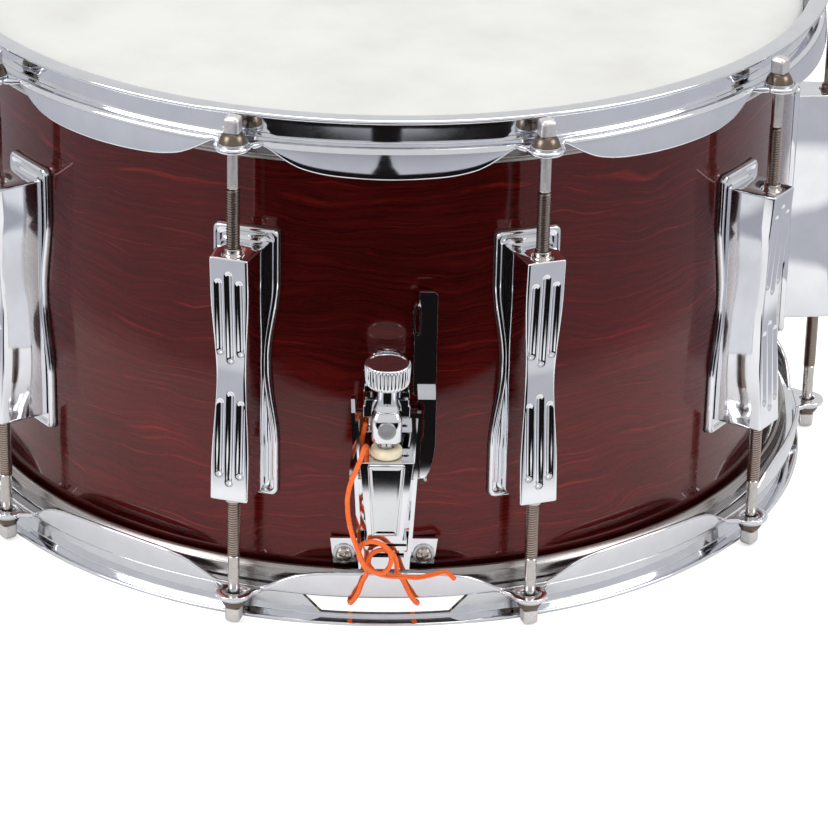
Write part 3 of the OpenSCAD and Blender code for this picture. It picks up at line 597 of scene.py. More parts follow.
def make_shell():
    inner = SHELL_R - 6.5
    low, high = SHELL_LOW.z, SHELL_HIGH.z
    shape = Shape()
    outer_low = arc(SHELL_R - 1.5, low + 1.5, 1.5, 270, 360, 6)
    outer_high = arc(SHELL_R - 1.5, high - 1.5, 1.5, 0, 90, 6)
    rows = 40
    wall = [(SHELL_R, low + 1.5 + (high - low - 3) * i / rows) for i in range(1, rows)]
    bevel_low = [(inner, low + 5), (inner + 2.5, low + 2.4)]
    bevel_high = [(inner + 2.5, high - 2.4), (inner, high - 5)]
    lathe(shape, [*bevel_low, *outer_low, *wall, *outer_high, *bevel_high], steps=720, closed=True)
    sharp = math.radians(50)
    shell = shape.piece("shell_lacquered", LACQUER, "drum", node="shell", slot="shell_lacquer", sharp=sharp)
    drill = Shape()
    tools = lathe(drill, [(4.8, SHELL_R - 12), (4.8, SHELL_R + 6)], axis="Y", steps=40)
    drill.cap(tools[0][::-1])
    drill.cap(tools[1])
    cutter = add_piece("vent_cutter", drill.points, drill.faces, LACQUER, "drum")
    to_vent = Matrix.Rotation(math.radians(VENT_ANGLE), 4, "Z")
    cutter.matrix_world = Matrix.Translation((0, 0, MID_Z * MM)) @ to_vent
    cut = shell.modifiers.new("vent", "BOOLEAN")
    cut.object = cutter
    cut.solver = "EXACT"
    bpy.context.view_layer.update()
    graph = bpy.context.evaluated_depsgraph_get()
    drilled = bpy.data.meshes.new_from_object(
        shell.evaluated_get(graph), preserve_all_data_layers=True, depsgraph=graph,
    )
    shell.modifiers.clear()
    shell.data = drilled
    bpy.data.objects.remove(cutter)


make_shell()


def head_profile(z, crown):
    """The film's top line: flat, over the bearing edge, and down to its flesh hoop."""
    return [
        (0, z), (60, z), (120, z), (150, z), (170, z), (174, z), (176.4, z - 0.04), (177.6, z - 0.3),
        (178.4, z - 0.9), (178.9, z - 2), (179.05, z - 4), (179.1, z - crown), (178.3, z - crown),
        (178.3, z - 4), (177.9, z - 1.6), (177.2, z - 0.75), (176, z - 0.35), (170, z - 0.26), (0, z - 0.26),
    ]


def make_heads():
    shape = Shape()
    lathe(shape, head_profile(FILM_TOP, 7.4), steps=360)
    shape.piece("batter_head_coated", COATED, "drum", node="batter_head_film", slot="coated_film")
    inner, outer = SHELL_R + 1.4, FLESH_HIGH.x
    low, high = FLESH_LOW.z, FLESH_HIGH.z
    profile = [
        (inner, low + 0.4), (inner + 0.4, low), (outer - 0.4, low), (outer, low + 0.4), (outer, low + 3.4),
        *arc(outer - 1.3, low + 4.9, 1.3, 0, 60, 5), *arc(inner + 1.8, high - 1.8, 1.8, 60, 180, 9),
        (inner, high - 2.4),
    ]
    shape = Shape()
    lathe(shape, profile, steps=360, closed=True)
    hoop = shape.piece("snare_flesh_hoop_rolled", ALUMINIUM, "drum", "snare_flesh_hoop", "aluminium")
    flipped = "batter_flesh_hoop"
    link_piece(f"{flipped}_rolled", hoop.data, "drum", flipped, upside_down=True)


make_heads()

# ---------- Hoops ----------

# Height of the skirt over the rim at an angle from the nearest ear, in degrees
SKIRT_LINE = [
    (0, EAR_Z), (2.6, EAR_Z), (3.5, 15.0), (4.5, 16.9), (5.5, 18.8), (6.6, 20.6), (7.8, 22.1), (10.5, 23.8),
    (14, 24.6), (18, 24.9),
]


def skirt_height(degrees):
    """The skirt's height at an angle from an ear, a smooth curve through SKIRT_LINE."""
    line = SKIRT_LINE
    for i in range(len(line) - 1):
        (x0, y0), (x1, y1) = line[i], line[i + 1]
        if degrees <= x1:
            before = line[max(i - 1, 0)]
            after = line[min(i + 2, len(line) - 1)]
            m0 = (y1 - before[1]) / (x1 - before[0]) if i else 0
            m1 = (after[1] - y0) / (after[0] - x0) if i + 2 < len(line) else 0
            t, w = (degrees - x0) / (x1 - x0), x1 - x0
            return (
                (2 * t**3 - 3 * t**2 + 1) * y0 + (t**3 - 2 * t**2 + t) * w * m0
                + (3 * t**2 - 2 * t**3) * y1 + (t**3 - t**2) * w * m1
            )
    return line[-1][1]


def bend(corner, before, after, radius, steps):
    """Rounds a corner of a polyline, as points on a quadratic curve that starts and ends radius away."""
    c, a, b = Vector(corner), Vector(before), Vector(after)
    start = c + (a - c).normalized() * radius
    end = c + (b - c).normalized() * radius
    places = (i / steps for i in range(steps + 1))
    return [start * (1 - t) ** 2 + c * 2 * t * (1 - t) + end * t * t for t in places]


def hoop_section(skirt_top, gate_low):
    """The middle line of the hoop's sheet, from the lip's edge to the skirt's. A gate lies at GATE_ROWS."""
    half = SHEET_T / 2
    lip, foot = (LIP_R - half, half), (COLLAR_MID_R, half)
    knee, flank = (COLLAR_MID_R, EAR_Z - half), (SKIRT_MID_R, EAR_Z - half)
    rise = max(skirt_top - EAR_Z, 0.1)
    top = (SKIRT_MID_R + SKIRT_LEAN * rise / (SKIRT_Z - EAR_Z), EAR_Z - half + rise)
    low = bend(foot, lip, knee, BEND_R, 5)
    high = bend(knee, foot, flank, BEND_R, 5)
    turn = bend(flank, knee, top, min(BEND_R, rise * 0.9), 6)
    gate = [Vector((COLLAR_MID_R, gate_low)), Vector((COLLAR_MID_R, GATE_HIGH))]
    return [Vector(lip), *low, *gate, *high, *turn, Vector(top) * 0.5 + turn[-1] * 0.5, Vector(top)]


GATE_ROWS = (7, 8)


def both_sides(line):
    """The section's outer and inner lines, half the sheet's thickness from its middle, and rounded tips."""
    half = SHEET_T / 2
    outer, inner, normals = [], [], []
    for i, point in enumerate(line):
        along = (line[min(i + 1, len(line) - 1)] - line[max(i - 1, 0)]).normalized()
        normal = Vector((along.y, -along.x))
        normals.append((normal, along))
        outer.append(point + normal * half)
        inner.append(point - normal * half)

    def tip(index, sign):
        normal, along = normals[index]
        angles = (math.radians(a) for a in (60, 30, 0, -30, -60))
        return [line[index] + (normal * math.sin(a) + along * sign * math.cos(a)) * half for a in angles]

    return outer, tip(-1, 1), inner, tip(0, -1)


def make_hoop(name, node, gates, upside_down):
    gate_centres = (math.degrees(GATE_X / COLLAR_MID_R), 180) if gates else ()
    marks = {round(i * 0.4, 3) for i in range(900)}
    ends = math.degrees(math.asin(GATE_HALF_HIGH / COLLAR_MID_R))
    corners = math.degrees(math.asin(GATE_HALF_LOW / COLLAR_MID_R))
    for centre in gate_centres:
        marks = {a for a in marks if abs(abs((a - centre + 180) % 360 - 180) - ends) > 0.15}
        marks |= {(centre + s * e) % 360 for s in (-1, 1) for e in (ends, corners)}
    angles = sorted(marks)
    shape, columns, inside = Shape(), [], []
    for angle in angles:
        from_ear = abs(angle % LUG_STEP - LUG_STEP / 2)
        gap = min((abs((angle - c + 180) % 360 - 180) for c in gate_centres), default=999)
        across = math.sin(math.radians(min(gap, 90))) * COLLAR_MID_R
        slope = min(max((across - GATE_HALF_LOW) / (GATE_HALF_HIGH - GATE_HALF_LOW), 0), 1)
        low = GATE_LOW + (GATE_HIGH - GATE_LOW) * slope if gap <= ends + 0.01 else GATE_LOW + 3
        line = hoop_section(skirt_height(from_ear), low)
        # the rim is pressed down a little where the gate has weakened it
        dip = 0.7 * (1 - smoothstep(0.9, 1.12, gap / ends)) if gates else 0
        outer, top_tip, inner, low_tip = both_sides(line)
        loop = []
        for points in (outer, top_tip, inner[::-1], low_tip[::-1]):
            for p in points:
                sag = dip * (1 - smoothstep(1.8, 3.0, p.y))
                loop.append(polar(p.x - sag * 0.8, angle, max(p.y - sag, 0.0) if p.y > 0.05 else p.y))
        columns.append(shape.ring(loop))
        inside.append(gap <= ends + 0.01)
    count = len(columns[0])
    side = len(hoop_section(20, 5))
    tip_count = 5
    mirrored = {row: 2 * side + tip_count - 1 - row for row in GATE_ROWS}
    for i, (a, b) in enumerate(zip(columns, columns[1:] + columns[:1])):
        open_here = inside[i] and inside[(i + 1) % len(columns)]
        for k in range(count):
            n = (k + 1) % count
            if open_here and (k == GATE_ROWS[0] or n == mirrored[GATE_ROWS[0]]):
                continue
            shape.faces.append((a[k], a[n], b[n], b[k]))
        if open_here:
            for row in GATE_ROWS:
                m = mirrored[row]
                shape.faces.append((a[row], a[m], b[m], b[row]))
    for angle in LUG_ANGLES:
        add_ear(shape, angle)
    hoop = shape.piece(name, PRESSED_CHROME, "drum", sharp=math.radians(50))
    if upside_down:
        flip = Matrix.Translation((0, 0, TOTAL_H * MM)) @ Matrix.Rotation(math.pi, 4, "X")
        hoop.data.transform(flip)
    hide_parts(node)


def ear_reach(degrees):
    """How far the ear's outline is from its hole's centre, in a direction measured from straight outwards."""
    a = abs((degrees + 180) % 360 - 180)
    root = ROD_R - SKIRT_MID_R - 0.6
    flare = 10.8
    corner = 180 - math.degrees(math.atan2(flare, root))
    if a <= 95:
        return EAR_R
    if a <= corner:
        t = (a - 95) / (corner - 95)
        return EAR_R + (math.hypot(flare, root) - EAR_R) * t**1.6
    return root / math.cos(math.radians(180 - a))


def add_ear(shape, angle):
    """A flat ear with a hole for the tension rod and rounded edges, let into the hoop's flange."""
    steps = 72
    half = SHEET_T / 2 + 0.03
    mid = EAR_Z - SHEET_T / 2
    edge = [(0.8, half), (0.35, half * 0.92), (0.08, half * 0.6), (0, 0)]
    edge += [(g, -z) for g, z in edge[2::-1]]

    def ring(reach, z):
        points = []
        for k in range(steps):
            d = 360 * k / steps
            r = reach(d)
            x, out = r * math.sin(math.radians(d)), ROD_R + r * math.cos(math.radians(d))
            a = math.radians(angle)
            points.append((out * math.sin(a) + x * math.cos(a), -out * math.cos(a) + x * math.sin(a), z))
        return shape.ring(points)

    hole = [(0, -half + 0.25), (0, half - 0.25), (0.25, half)]
    rings = [ring(lambda d, g=g: EAR_HOLE_R + g, mid + z) for g, z in hole]
    rings.append(ring(lambda d: (EAR_HOLE_R + ear_reach(d)) / 2, mid + half))
    rings += [ring(lambda d, g=g: ear_reach(d) - g, mid + z) for g, z in edge]
    rings.append(ring(lambda d: EAR_HOLE_R + 0.25, mid - half))
    shape.strip(rings)
    shape.bridge(rings[-1], rings[0])


make_hoop("snare_hoop_pressed", "snare_hoop", True, False)
make_hoop("batter_hoop_pressed", "batter_hoop", False, True)

# ---------- Lugs ----------

FLUTES = [(-4.3, 15.3), (0.0, 18.8), (4.3, 15.3)]
FLUTE_R, FLUTE_DEPTH = 1.75, 0.95


def lug_half_width(t):
    """Half the width of the lug's face: t is 0 at the waist and 1 at an end."""
    return LUG_WAIST / 2 + (LUG_W - LUG_WAIST) / 2 * smoothstep(0.0, 0.74, t)


def flute_depth(x, z):
    """How deep the face is cut at x across and z up from the waist: three soft flutes in each half."""
    centre = LUG_LEN / 4
    depth = 0.0
    for middle, reach in FLUTES:
        along = (z - centre if z > 0 else z + centre) + reach
        past = max(1.0 - along, along - 2 * reach, 0)
        q = math.hypot(x - middle, past) / FLUTE_R
        if q < 1:
            depth = max(depth, FLUTE_DEPTH * (0.5 + 0.5 * math.cos(math.pi * q)) ** 0.75)
    return depth


def lug_face_r(t):
    """The face is nearest the shell at its waist and leans outwards towards both ends."""
    ease = 0.12
    return LUG_FACE_R - LUG_CREASE * (1 - (math.hypot(t, ease) - ease) / (math.hypot(1, ease) - ease))


def lug_section(z):
    """The lug's section at a height from its waist, as (x, r) from the left of its root to the right."""
    half = LUG_LEN / 2
    t = abs(z) / half
    soft = 0.7
    near_end = min(max((abs(z) - half + soft) / soft, 0), 1)
    trim = soft * (1 - math.sqrt(max(1 - near_end**2, 0)))
    width = lug_half_width(t) - trim
    face = lug_face_r(t) - trim
    corner = 0.9
    root = LUG_SEAT_R + 1.2
    left = [(-width - 1.7, root), (-width - 1.15, root + 6), (-width - 0.45, face - 5)]
    left.append((-width, face - corner))
    left += [(-width + corner - corner * math.cos(a), face - corner + corner * math.sin(a))
             for a in (math.radians(d) for d in (20, 40, 60, 78))]
    inner = width - corner
    columns = 56
    middle = []
    for i in range(columns + 1):
        x = -inner + 2 * inner * i / columns
        middle.append((x, face - flute_depth(x, z)))
    return left + middle + [(-x, r) for x, r in left[::-1]]


def make_lug_mesh():
    shape = Shape()
    half = LUG_LEN / 2
    heights = [-half, -half + 0.02, -half + 0.1, -half + 0.25, -half + 0.45, -half + 0.7]
    count = 190
    heights += [-half + 0.7 + (LUG_LEN - 1.4) * i / count for i in range(1, count)]
    heights = sorted(heights + [-h for h in heights[:6]] + [0.0])
    rings = [shape.ring([(x, -r, MID_Z + z) for x, r in lug_section(z)]) for z in heights]
    shape.strip(rings, closed=False)
    # each end: the flat round the bore that holds the swivel nut
    bore = 4.45
    for ring, way in ((rings[0], 1), (rings[-1], -1)):
        z = shape.points[ring[0]][2]
        first, last = Vector(shape.points[ring[0]]), Vector(shape.points[ring[-1]])
        root = shape.ring([last.lerp(first, i / 9) for i in range(1, 9)])
        outline = ring + root
        rims = []
        for grow, sink in ((0.35, 0.0), (0.1, 0.1), (0.0, 0.35), (0.0, 6.0)):
            rim = []
            for p in outline:
                x, y, _ = shape.points[p]
                a = math.atan2(x, y + ROD_R)
                r = bore + grow
                rim.append((r * math.sin(a), -ROD_R + r * math.cos(a), z + way * sink))
            rims.append(shape.ring(rim))
        shape.strip([outline, *rims])
    add_lug_flange(shape)
    return shape.piece("lug_01_cast", CHROME, "drum", sharp=math.radians(55))


def flange_outline(inset):
    """The base flange's outline, drawn in by inset, as (x, z) with rounded corners."""
    half, corner = FLANGE_LEN / 2 - inset, 2.6
    rise = [half * i / 34 for i in range(34)]

    def width(z):
        return FLANGE_WAIST / 2 + (FLANGE_W - FLANGE_WAIST) / 2 * smoothstep(0.04, 0.62, z / half) - inset

    side = [(width(z), z) for z in rise if z < half - corner]
    end = width(half)
    side += arc(end - corner, half - corner, corner, 0, 90, 9)
    points = side + [(-x, z) for x, z in side[::-1]] + [(-x, -z) for x, z in side[1:]]
    return points + [(x, -z) for x, z in side[:0:-1]]


def flange_ring(shape, inset, r):
    """The flange's outline on a cylinder of radius r round the drum's axis."""
    return shape.ring([(x, -math.sqrt(r * r - x * x), MID_Z + z) for x, z in flange_outline(inset)])


def add_lug_flange(shape):
    """The flange that lies on the shell: a rolled bead round its edge and a dished channel inside it."""
    steps = [
        (0.0, 0.0), (0.0, 1.3), (0.2, 1.8), (0.6, 2.15), (1.1, 2.25), (1.7, 2.1), (2.3, 1.6), (2.9, 1.2),
        (3.8, 1.05), (5.0, 1.3), (6.5, 2.6),
    ]
    rings = [flange_ring(shape, inset, LUG_SEAT_R + height) for inset, height in steps]
    shape.strip(rings)
    shape.cap(rings[-1])


def link_round(piece, slot, *kinds):
    """Copies a piece to every lug. A kind is a name, whether it is upside down, and the node it replaces."""
    mesh = piece.data
    bpy.data.objects.remove(piece)
    for i, angle in enumerate(LUG_ANGLES):
        for name, upside_down, node in kinds:
            link_piece(f"{name}_{i + 1:02d}", mesh, "drum", None if i else node, angle, upside_down)


def make_lugs():
    first = make_lug_mesh()
    mesh = first.data
    bpy.data.objects.remove(first)
    for i, angle in enumerate(LUG_ANGLES):
        node = f"lug_{i + 1:02d}"
        link_piece(f"{node}_cast", mesh, "drum", node, turn=angle)


def make_gaskets():
    shape = Shape()
    steps = [(0.0, 0.05), (-0.2, 0.05), (-0.25, 0.2), (-0.2, 0.55), (2.0, 0.55)]
    rings = [flange_ring(shape, inset, SHELL_R + height) for inset, height in steps]
    shape.strip(rings)
    shape.cap(rings[-1])
    gasket = shape.piece("lug_gasket", RUBBER, "drum")
    link_round(gasket, "gasket_rubber", ("lug_gasket", False, "lug_gaskets"))


make_lugs()
make_gaskets()

# ---------- Tension rods ----------


def add_thread(shape, low, high, pitch, major, minor, centre, steps=20):
    """A real helical thread: rings of one turn's profile that climb round the rod."""
    profile = [(minor, 0.0), (minor, 0.12), (major, 0.42), (major, 0.58), (minor, 0.88)]
    rounds = int((high - low) / pitch)
    rows = []
    for k in range(rounds * steps + 1):
        a = math.tau * k / steps
        base = low + pitch * k / steps
        rows.append(shape.ring([
            (centre[0] + r * math.cos(a), centre[1] + r * math.sin(a), base + h * pitch) for r, h in profile
        ]))
    for i, row in enumerate(rows[:-1]):
        shape.bridge(row, rows[i + 1], closed=False)
        above = i + steps
        if above + 1 < len(rows):
            shape.faces.append((row[-1], rows[i + 1][-1], rows[above + 1][0], rows[above][0]))


def add_square_head(shape, centre, low, high, width):
    """A square key head with rounded corners and a domed end."""
    rows = [(0.0, 0.42), (0.25, 0.72), (0.7, 0.9), (1.4, 0.985), (2.2, 1.0), (high - low, 1.0)]
    rings = []
    steps = 48
    for rise, size in rows:
        ring = []
        for a in turns(steps):
            r = width / 2 * size * squarish(a, 5)
            ring.append((centre[0] + r * math.cos(a), centre[1] + r * math.sin(a), low + rise))
        rings.append(shape.ring(ring))
    shape.strip(rings)
    shape.cap(rings[0][::-1])
    return rings[-1]


def make_rods():
    shape = Shape()
    centre = (0, -ROD_R, 0)
    ear_low = EAR_Z - SHEET_T
    head_top = ROD_LOW + 7.0
    add_square_head(shape, centre, ROD_LOW, head_top, 6.3)
    seat = ear_low - 1.1
    collar = [
        (2.2, head_top - 0.4), (3.0, head_top - 0.5), (3.7, head_top - 0.1), (4.5, head_top + 0.9),
        (5.1, head_top + 2.1), (5.45, head_top + 3.1), (5.6, seat), (5.45, seat + 0.12), (2.6, seat + 0.12),
    ]
    lathe(shape, collar, centre)
    shank = [(2.35, head_top), (2.35, SHANK_TOP - 0.4), (2.5, SHANK_TOP), (ROD_MINOR, SHANK_TOP + 0.4)]
    lathe(shape, shank, centre, steps=32)
    add_thread(shape, SHANK_TOP, NUT_LOW + 6, THREAD_PITCH, ROD_MAJOR, ROD_MINOR, centre)
    sides = (("snare", False), ("batter", True))
    kinds = ((f"{side}_tension_rod", flipped, f"{side}_tension_rods") for side, flipped in sides)
    link_round(shape.piece("tension_rod", ROD_METAL, "drum"), "nickel_steel", *kinds)


def make_nuts():
    """Swivel nuts: the round neck that stands out of each end of a lug."""
    shape = Shape()
    z = NUT_LOW
    profile = [
        (2.75, z + 0.4), (2.85, z), (3.1, z), (3.4, z + 0.3), (3.4, z + 1.9), (4.1, z + 2.5), (4.3, z + 3.0),
        (4.3, z + 9), (2.8, z + 9),
    ]
    lathe(shape, profile, (0, -ROD_R, 0), steps=40)
    kinds = (("snare_swivel_nut", False, "swivel_nuts"), ("batter_swivel_nut", True, None))
    link_round(shape.piece("swivel_nut", NICKEL, "drum"), "nickel_steel", *kinds)


make_rods()
make_nuts()

# ---------- Strainer ----------


def add_cross_head(shape, centre, radius, height, axis_turn=0.0):
    """A pan head along -Y with a cross recess, as a polar grid of heights."""
    rows, steps = 26, 96
    rings = []

    def place(r, a, out):
        a += axis_turn
        return (centre[0] + r * math.cos(a), centre[1] - out, centre[2] + r * math.sin(a))

    for i in range(rows + 1):
        q = i / rows
        r = radius * q
        dome = height * (1 - 0.42 * q * q) if q < 0.9 else height * (0.66 - 2.64 * (q - 0.9) ** 0.9)
        ring = []
        for a in turns(steps):
            arm, reach = sorted((abs(r * math.cos(a)), abs(r * math.sin(a))))
            cut = 1 - smoothstep(0.32, 0.5, arm)
            cut *= 1 - smoothstep(radius * 0.48, radius * 0.62, reach)
            ring.append(place(r, a, max(dome - 1.3 * cut, 0.15)))
        rings.append(shape.ring(ring))
    rings.append(shape.ring([place(radius, a, 0) for a in turns(steps)]))
    shape.strip(rings)
    shape.cap(rings[0][::-1])


def make_screws():
    head_r, head_h, shank_r, shank_len = 3.3, 2.2, 2.0, 19
    for node, prefix in (("strainer_screws", "strainer"), ("butt_screws", "butt")):
        low, high = limits(node)
        z = (low.z + high.z) / 2
        front = prefix == "strainer"
        seat = low.y + head_h if front else head_h - high.y
        middle = (low.x + high.x) / 2 if front else 0
        reach = (high.x - low.x) / 2 - head_r
        shank = [(shank_r, -seat - 1), (shank_r, -seat - 1 - shank_len)]
        shape = Shape()
        for side in (-1, 1):
            x = middle + side * reach
            add_cross_head(shape, (x, seat, z), head_r, head_h, 0.4 * side)
            lathe(shape, shank, (x, 0, z), axis="Y", steps=24)
        piece = shape.piece(f"{prefix}_pan_screws", NICKEL, "drum", node=node, slot="nickel_steel")
        if not front:
            piece.data.transform(Matrix.Rotation(math.pi, 4, "Z"))


def make_knob():
    """The tension knob: a dished top, a rounded rim and coarse ribs that taper downwards."""
    radius, low, high = (KNOB_HIGH.x - KNOB_LOW.x) / 2, KNOB_LOW.z, KNOB_HIGH.z
    ribs, per_rib = 36, 10
    steps = ribs * per_rib
    rows = [
        (4.4, low + 0.02, 0), (6.6, low + 0.05, 0), (7.9, low + 0.5, 0), (8.5, low + 1.2, 0.5),
        (8.75, low + 1.9, 1), (9.0, low + 5, 1), (9.2, high - 1.9, 1), (9.25, high - 1.2, 0.8),
        (9.2, high - 0.7, 0.25), (9.0, high - 0.3, 0), (8.6, high - 0.03, 0), (8.2, high, 0),
        (7.85, high - 0.06, 0), (7.6, high - 0.35, 0), (7.2, high - 0.5, 0), (4.0, high - 0.42, 0),
        (0, high - 0.38, 0),
    ]
    shape, rings = Shape(), []
    for r, z, cut in rows:
        ring = []
        for a in turns(steps):
            groove = 0.5 + 0.5 * math.cos(a * ribs)
            at = max(r * radius / 9.3 - 0.62 * cut * groove**2.2, 0.0005)
            ring.append((SPINDLE_X + at * math.cos(a), SPINDLE_Y + at * math.sin(a), z))
        rings.append(shape.ring(ring))
    shape.strip(rings)
    shape.piece("adjust_knob_ribbed", CHROME, "knob", node="adjust_knob", slot="chrome")
    low = limits("adjust_screw")[0].z
    neck = limits("trunnion_block")[1].z
    shape = Shape()
    centre = (SPINDLE_X, SPINDLE_Y, 0)
    profile = [
        (0, neck + 0.15), (5.2, neck + 0.15), (5.35, neck + 0.4), (5.3, neck + 1.0), (4.75, neck + 2.0),
        (4.35, neck + 3.4), (4.15, neck + 6), (4.15, KNOB_LOW.z + 0.3),
    ]
    lathe(shape, profile, centre)
    add_thread(shape, low, neck, 0.8, 3.0, 2.6, centre, steps=24)
    lathe(shape, [(2.62, low), (2.62, neck)], centre, steps=24)
    shape.piece("adjust_screw_threaded", CHROME, "knob", node="adjust_screw", slot="nickel_steel")


def make_washer():
    low, high = limits("nylon_washer")
    r = (high.x - low.x) / 2
    shape = Shape()
    profile = [(3.2, low.z + 0.3), (3.5, low.z), (r - 1.2, low.z), *arc(r - 1.2, low.z + 1.2, 1.2, -90, 0, 6),
               *arc(r - 1.7, high.z - 1.7, 1.7, 0, 90, 8), (3.6, high.z), (3.2, high.z - 0.3)]
    lathe(shape, profile, (SPINDLE_X, SPINDLE_Y, 0), closed=True)
    shape.piece("nylon_washer_turned", NYLON, "carriage", node="nylon_washer", slot="nylon")


def make_block():
    """The trunnion: a block with well-rounded corners and a shallow cone on top, where the neck stands."""
    low, high = limits("trunnion_block")
    centre = (low + high) / 2
    half_x, half_y = (high.x - low.x) / 2, (high.y - low.y) / 2
    shape, steps = Shape(), 96
    top = high.z
    rows = [
        (0.35, low.z), (0.9, low.z + 0.02), (0.97, low.z + 0.3), (1.0, low.z + 0.9), (1.0, top - 3.4),
        (0.985, top - 2.7), (0.93, top - 2.0), (0.86, top - 1.2), (0.80, top - 0.4), (0.76, top - 0.06),
        (0.70, top), (0.35, top),
    ]
    rings = []
    for size, z in rows:
        ring = []
        for a in turns(steps):
            r = size * squarish(a, 4.2)
            ring.append((centre.x + half_x * r * math.cos(a), centre.y + half_y * r * math.sin(a), z))
        rings.append(shape.ring(ring))
    shape.strip(rings)
    shape.cap(rings[0][::-1])
    shape.cap(rings[-1])
    sharp = math.radians(60)
    shape.piece("trunnion_block_cast", CHROME, "trunnion", "trunnion_block", "chrome", sharp=sharp)


def make_rivet():
    low, high = limits("trunnion_rivet")
    r = (high.x - low.x) / 2
    z = (low.z + high.z) / 2
    shape = Shape()
    top = -low.y
    profile = [
        (0, top - 0.12), (1.2, top - 0.1), (2.4, top - 0.02), (r - 0.5, top), (r - 0.15, top - 0.12),
        (r, top - 0.4), (r, top - 1.18),
    ]
    lathe(shape, profile, (SPINDLE_X, 0, z), axis="Y", steps=64)
    shape.piece("trunnion_rivet_peened", RIVET, "trunnion", node="trunnion_rivet", slot="zinc_steel")


def make_label():
    """A blank tapered plate with a raised, polished border."""
    low, high = LABEL_LOW, LABEL_HIGH
    top_half = (high.x - low.x) / 2
    foot_half = top_half * 0.72
    middle = (high.x + low.x) / 2
    back, front = high.y, low.y

    def outline(inset, y):
        corner = max(1.2 - inset, 0.25)
        corners = [(-foot_half + inset, low.z + inset), (foot_half - inset, low.z + inset),
                   (top_half - inset, high.z - inset), (-top_half + inset, high.z - inset)]
        points = []
        for i, c in enumerate(corners):
            before, after = corners[i - 1], corners[(i + 1) % 4]
            points += [(p.x + middle, y, p.y) for p in bend(c, before, after, corner, 5)]
        return points

    shape = Shape()
    rows = [
        (0.0, back), (0.0, front + 0.25), (0.12, front + 0.06), (0.35, front), (0.7, front),
        (0.9, front + 0.08), (1.05, front + 0.42), (1.2, front + 0.5), (2.5, front + 0.5),
    ]
    rings = [shape.ring(outline(inset, y)) for inset, y in rows]
    shape.strip(rings)
    shape.cap(rings[-1])
    shape.cap(rings[0][::-1])
    shape.piece("label_plate_blank", LABEL, "carriage", "label_plate", "label_metal", sharp=math.radians(30))


make_screws()
make_knob()
make_washer()
make_block()
make_rivet()
make_label()

# ---------- Nodes that keep their CAD shape ----------

DRESSED = (
    (CHROME, 0.35, ("strainer_base", "carriage", "butt_base")),
    (CHROME, 0.3, ("cord_clamp", "butt_clamp", "vent_badge")),
    (CHROME, 0.42, ("throw_lever",)),
    (CHROME, 0.75, ("trunnion_yoke",)),
    (NICKEL, 0.2, ("throw_pivot_pin",)),
    (NICKEL, 0.3, ("butt_clamp_screws",)),
    (ZINC, 0.15, ("snare_rod_washers", "batter_rod_washers", "strainer_screw_washers", "lug_screw_washers")),
    (ZINC, 0.2, ("strainer_nuts", "butt_nuts", "lug_screws")),
    (ZINC, 0.25, ("adjust_nut",)),
    (BRASS, 0.2, ("snare_end_plates", "vent_grommet")),
    (MAPLE, 0.4, ("batter_reinforcement_ring", "snare_reinforcement_ring")),
    (STRAP, 0, ("butt_strap",)),
    (HAZY, 0, ("snare_head_film",)),
)
for material, edge, nodes in DRESSED:
    for node in nodes:
        dress(node, material, edge)

# ---------- Snares ----------


def make_snares():
    """Twenty coiled strands, each a real helix of steel wire."""
    strands, pitch = 20, 1.15
    wire = 0.26
    coil = (SNARE_HIGH.z - SNARE_LOW.z) / 2 - wire
    centre_z = (SNARE_HIGH.z + SNARE_LOW.z) / 2
    first = SNARE_LOW.x + coil + wire
    gap = (SNARE_HIGH.x - SNARE_LOW.x - 2 * (coil + wire)) / (strands - 1)
    per_turn = 8
    corners = ((1, 0), (-0.5, 0.87), (-0.5, -0.87))
    coils = int((SNARE_HIGH.y - SNARE_LOW.y - 2 * wire) / pitch)
    shape = Shape()
    for n in range(strands):
        x0 = first + gap * n
        rings = []
        for k in range(coils * per_turn + 1):
            a = math.tau * k / per_turn
            y = SNARE_LOW.y + wire + pitch * k / per_turn
            out = Vector((math.cos(a), 0, math.sin(a)))
            side = Vector((0, 1, 0))
            centre = Vector((x0, y, centre_z)) + out * coil
            rings.append(shape.ring([centre + out * wire * c + side * wire * s for c, s in corners]))
        shape.strip(rings)
        shape.cap(rings[0][::-1])
        shape.cap(rings[-1])
    sharp = math.radians(170)
    shape.piece("snare_wires_coiled", SNARE_STEEL, "snares", "snare_wires", "snare_steel", sharp=sharp)


make_snares()

# ---------- Studio ----------


def add_stage(name, points, material):
    mesh = bpy.data.meshes.new(name)
    mesh.from_pydata(points, [], [tuple(range(len(points)))])
    mesh.materials.append(material)
    piece = bpy.data.objects.new(name, mesh)
    bpy.context.collection.objects.link(piece)
    return piece


def make_floor():
    """A pale table that glows a little, as a light table does, except under the drum; a ring under the gate
    glows brighter, painted light that whitens the rim's shade on the floor.
    """
    s = Surface("pale_floor", Roughness=0.7, Specular_IOR_Level=0.1)
    mottle = s.noise(s.place(), 0.004, 3, 0.5)
    s.set(Base_Color=s.ramp(mottle, (0.3, (0.86, 0.86, 0.86)), (0.7, (0.89, 0.89, 0.89))))
    _, _, radius = s.round_drum()
    # painted light: full emission from 0.158 to 0.182 m off the axis, where the floor seen through the gate
    # lies in the rim's shade; 0.42 further out, none under the drum
    glow_with_painted_ring = s.ramp(s.times(radius, 0.001), (0.145, 0.0), (0.158, 1.0), (0.182, 1.0), (0.196, 0.42))
    s.set(Emission_Color=glow_with_painted_ring, Emission_Strength=0.95)
    reach = 6.0
    add_stage("floor", [(reach * math.cos(a), reach * math.sin(a), 0) for a in turns(64)], s.material)


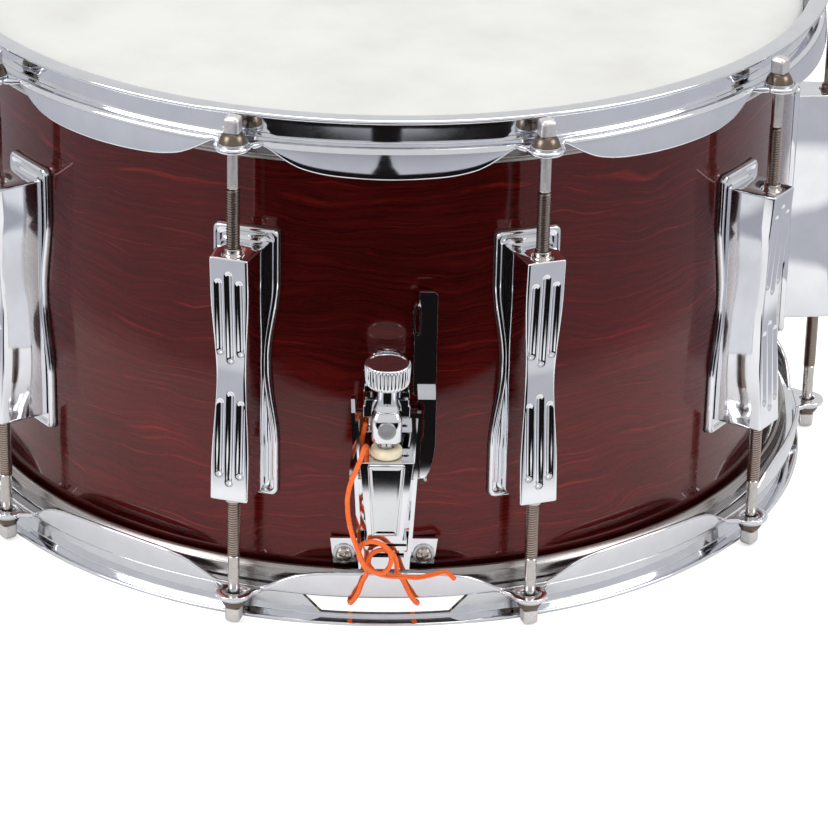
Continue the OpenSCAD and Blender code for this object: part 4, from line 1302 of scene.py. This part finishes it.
def make_reflected_table():
    """Painted reflections for gloss and chrome, on a card seen only in reflections: a pale sheet round the
    drum, grey further out in place of a room, and a dark widening patch and a dark strip in front.
    """
    s = Surface("reflected_table", Roughness=0.9, Specular_IOR_Level=0.0)
    split = s.tree.nodes.new("ShaderNodeSeparateXYZ")
    s.feed(split, "Vector", s.put("TexCoord", out="Object"))
    x, y, _ = split.outputs
    side = s.math("ABSOLUTE", x)
    ahead = s.times(y, -1.0)
    radius = s.math("SQRT", s.math("ADD", s.times(x, x), s.times(y, y)))
    # painted reflection: pale near the drum, grey further out
    sheet = s.ramp(radius, (0.365, (0.82, 0.82, 0.82)), (0.40, (0.40, 0.405, 0.44)))
    # painted reflection: a dark patch widening forwards in front of the drum, and a dark strip straight ahead
    painted_dark_wedge = s.math("SUBTRACT", s.math("MULTIPLY_ADD", y, -0.6494, -0.0602), side)
    painted_dark_wedge = s.ramp(s.math("MULTIPLY_ADD", painted_dark_wedge, 20.0, 0.5), (0.4, 0.0), (0.6, 1.0))
    painted_dark_wedge = s.times(painted_dark_wedge, s.ramp(ahead, (0.364, 0.0), (0.378, 1.0), (0.70, 1.0), (0.74, 0.0)))
    painted_dark_strip = s.ramp(side, (0.040, 1.0), (0.046, 0.0))
    painted_dark_strip = s.times(painted_dark_strip, s.ramp(ahead, (0.329, 0.0), (0.334, 1.0)))
    s.set(Base_Color=s.mix(s.math("MAXIMUM", painted_dark_wedge, painted_dark_strip), sheet, (0.006, 0.005, 0.005)))
    wide, height = 4.0, 0.0003
    corners = [(-wide, -wide, height), (wide, -wide, height), (wide, wide, height), (-wide, wide, height)]
    card = add_stage("reflected_table", corners, s.material)
    # hidden from the camera, from diffuse and transmission rays, and casting no shadow, the card shows only
    # in reflections
    card.visible_camera = False
    card.visible_diffuse = False
    card.visible_shadow = False
    card.visible_transmission = False


def make_lights():
    world = bpy.data.worlds.new("studio")
    bpy.context.scene.world = world
    world.use_nodes = True
    tree = world.node_tree
    background = tree.nodes["Background"]
    background.inputs["Color"].default_value = (1, 1, 1, 1)
    background.inputs["Strength"].default_value = 0.75
    for name, place, size, power in (
        ("left_softbox", (-1.6, -0.9, 1.3), 1.1, 16), ("right_softbox", (1.7, -0.7, 1.4), 1.1, 14),
        ("top_softbox", (0.1, 0.2, 2.2), 1.6, 16),
    ):
        data = bpy.data.lights.new(name, "AREA")
        data.shape = "RECTANGLE"
        data.size = size
        data.size_y = size * 0.8
        data.energy = power
        lamp = bpy.data.objects.new(name, data)
        lamp.location = place
        aim = Vector((0, 0, 0.1)) - Vector(place)
        lamp.rotation_euler = aim.to_track_quat("-Z", "Y").to_euler()
        bpy.context.collection.objects.link(lamp)
    bpy.context.scene.view_settings.view_transform = "Standard"


make_floor()
make_reflected_table()
make_lights()
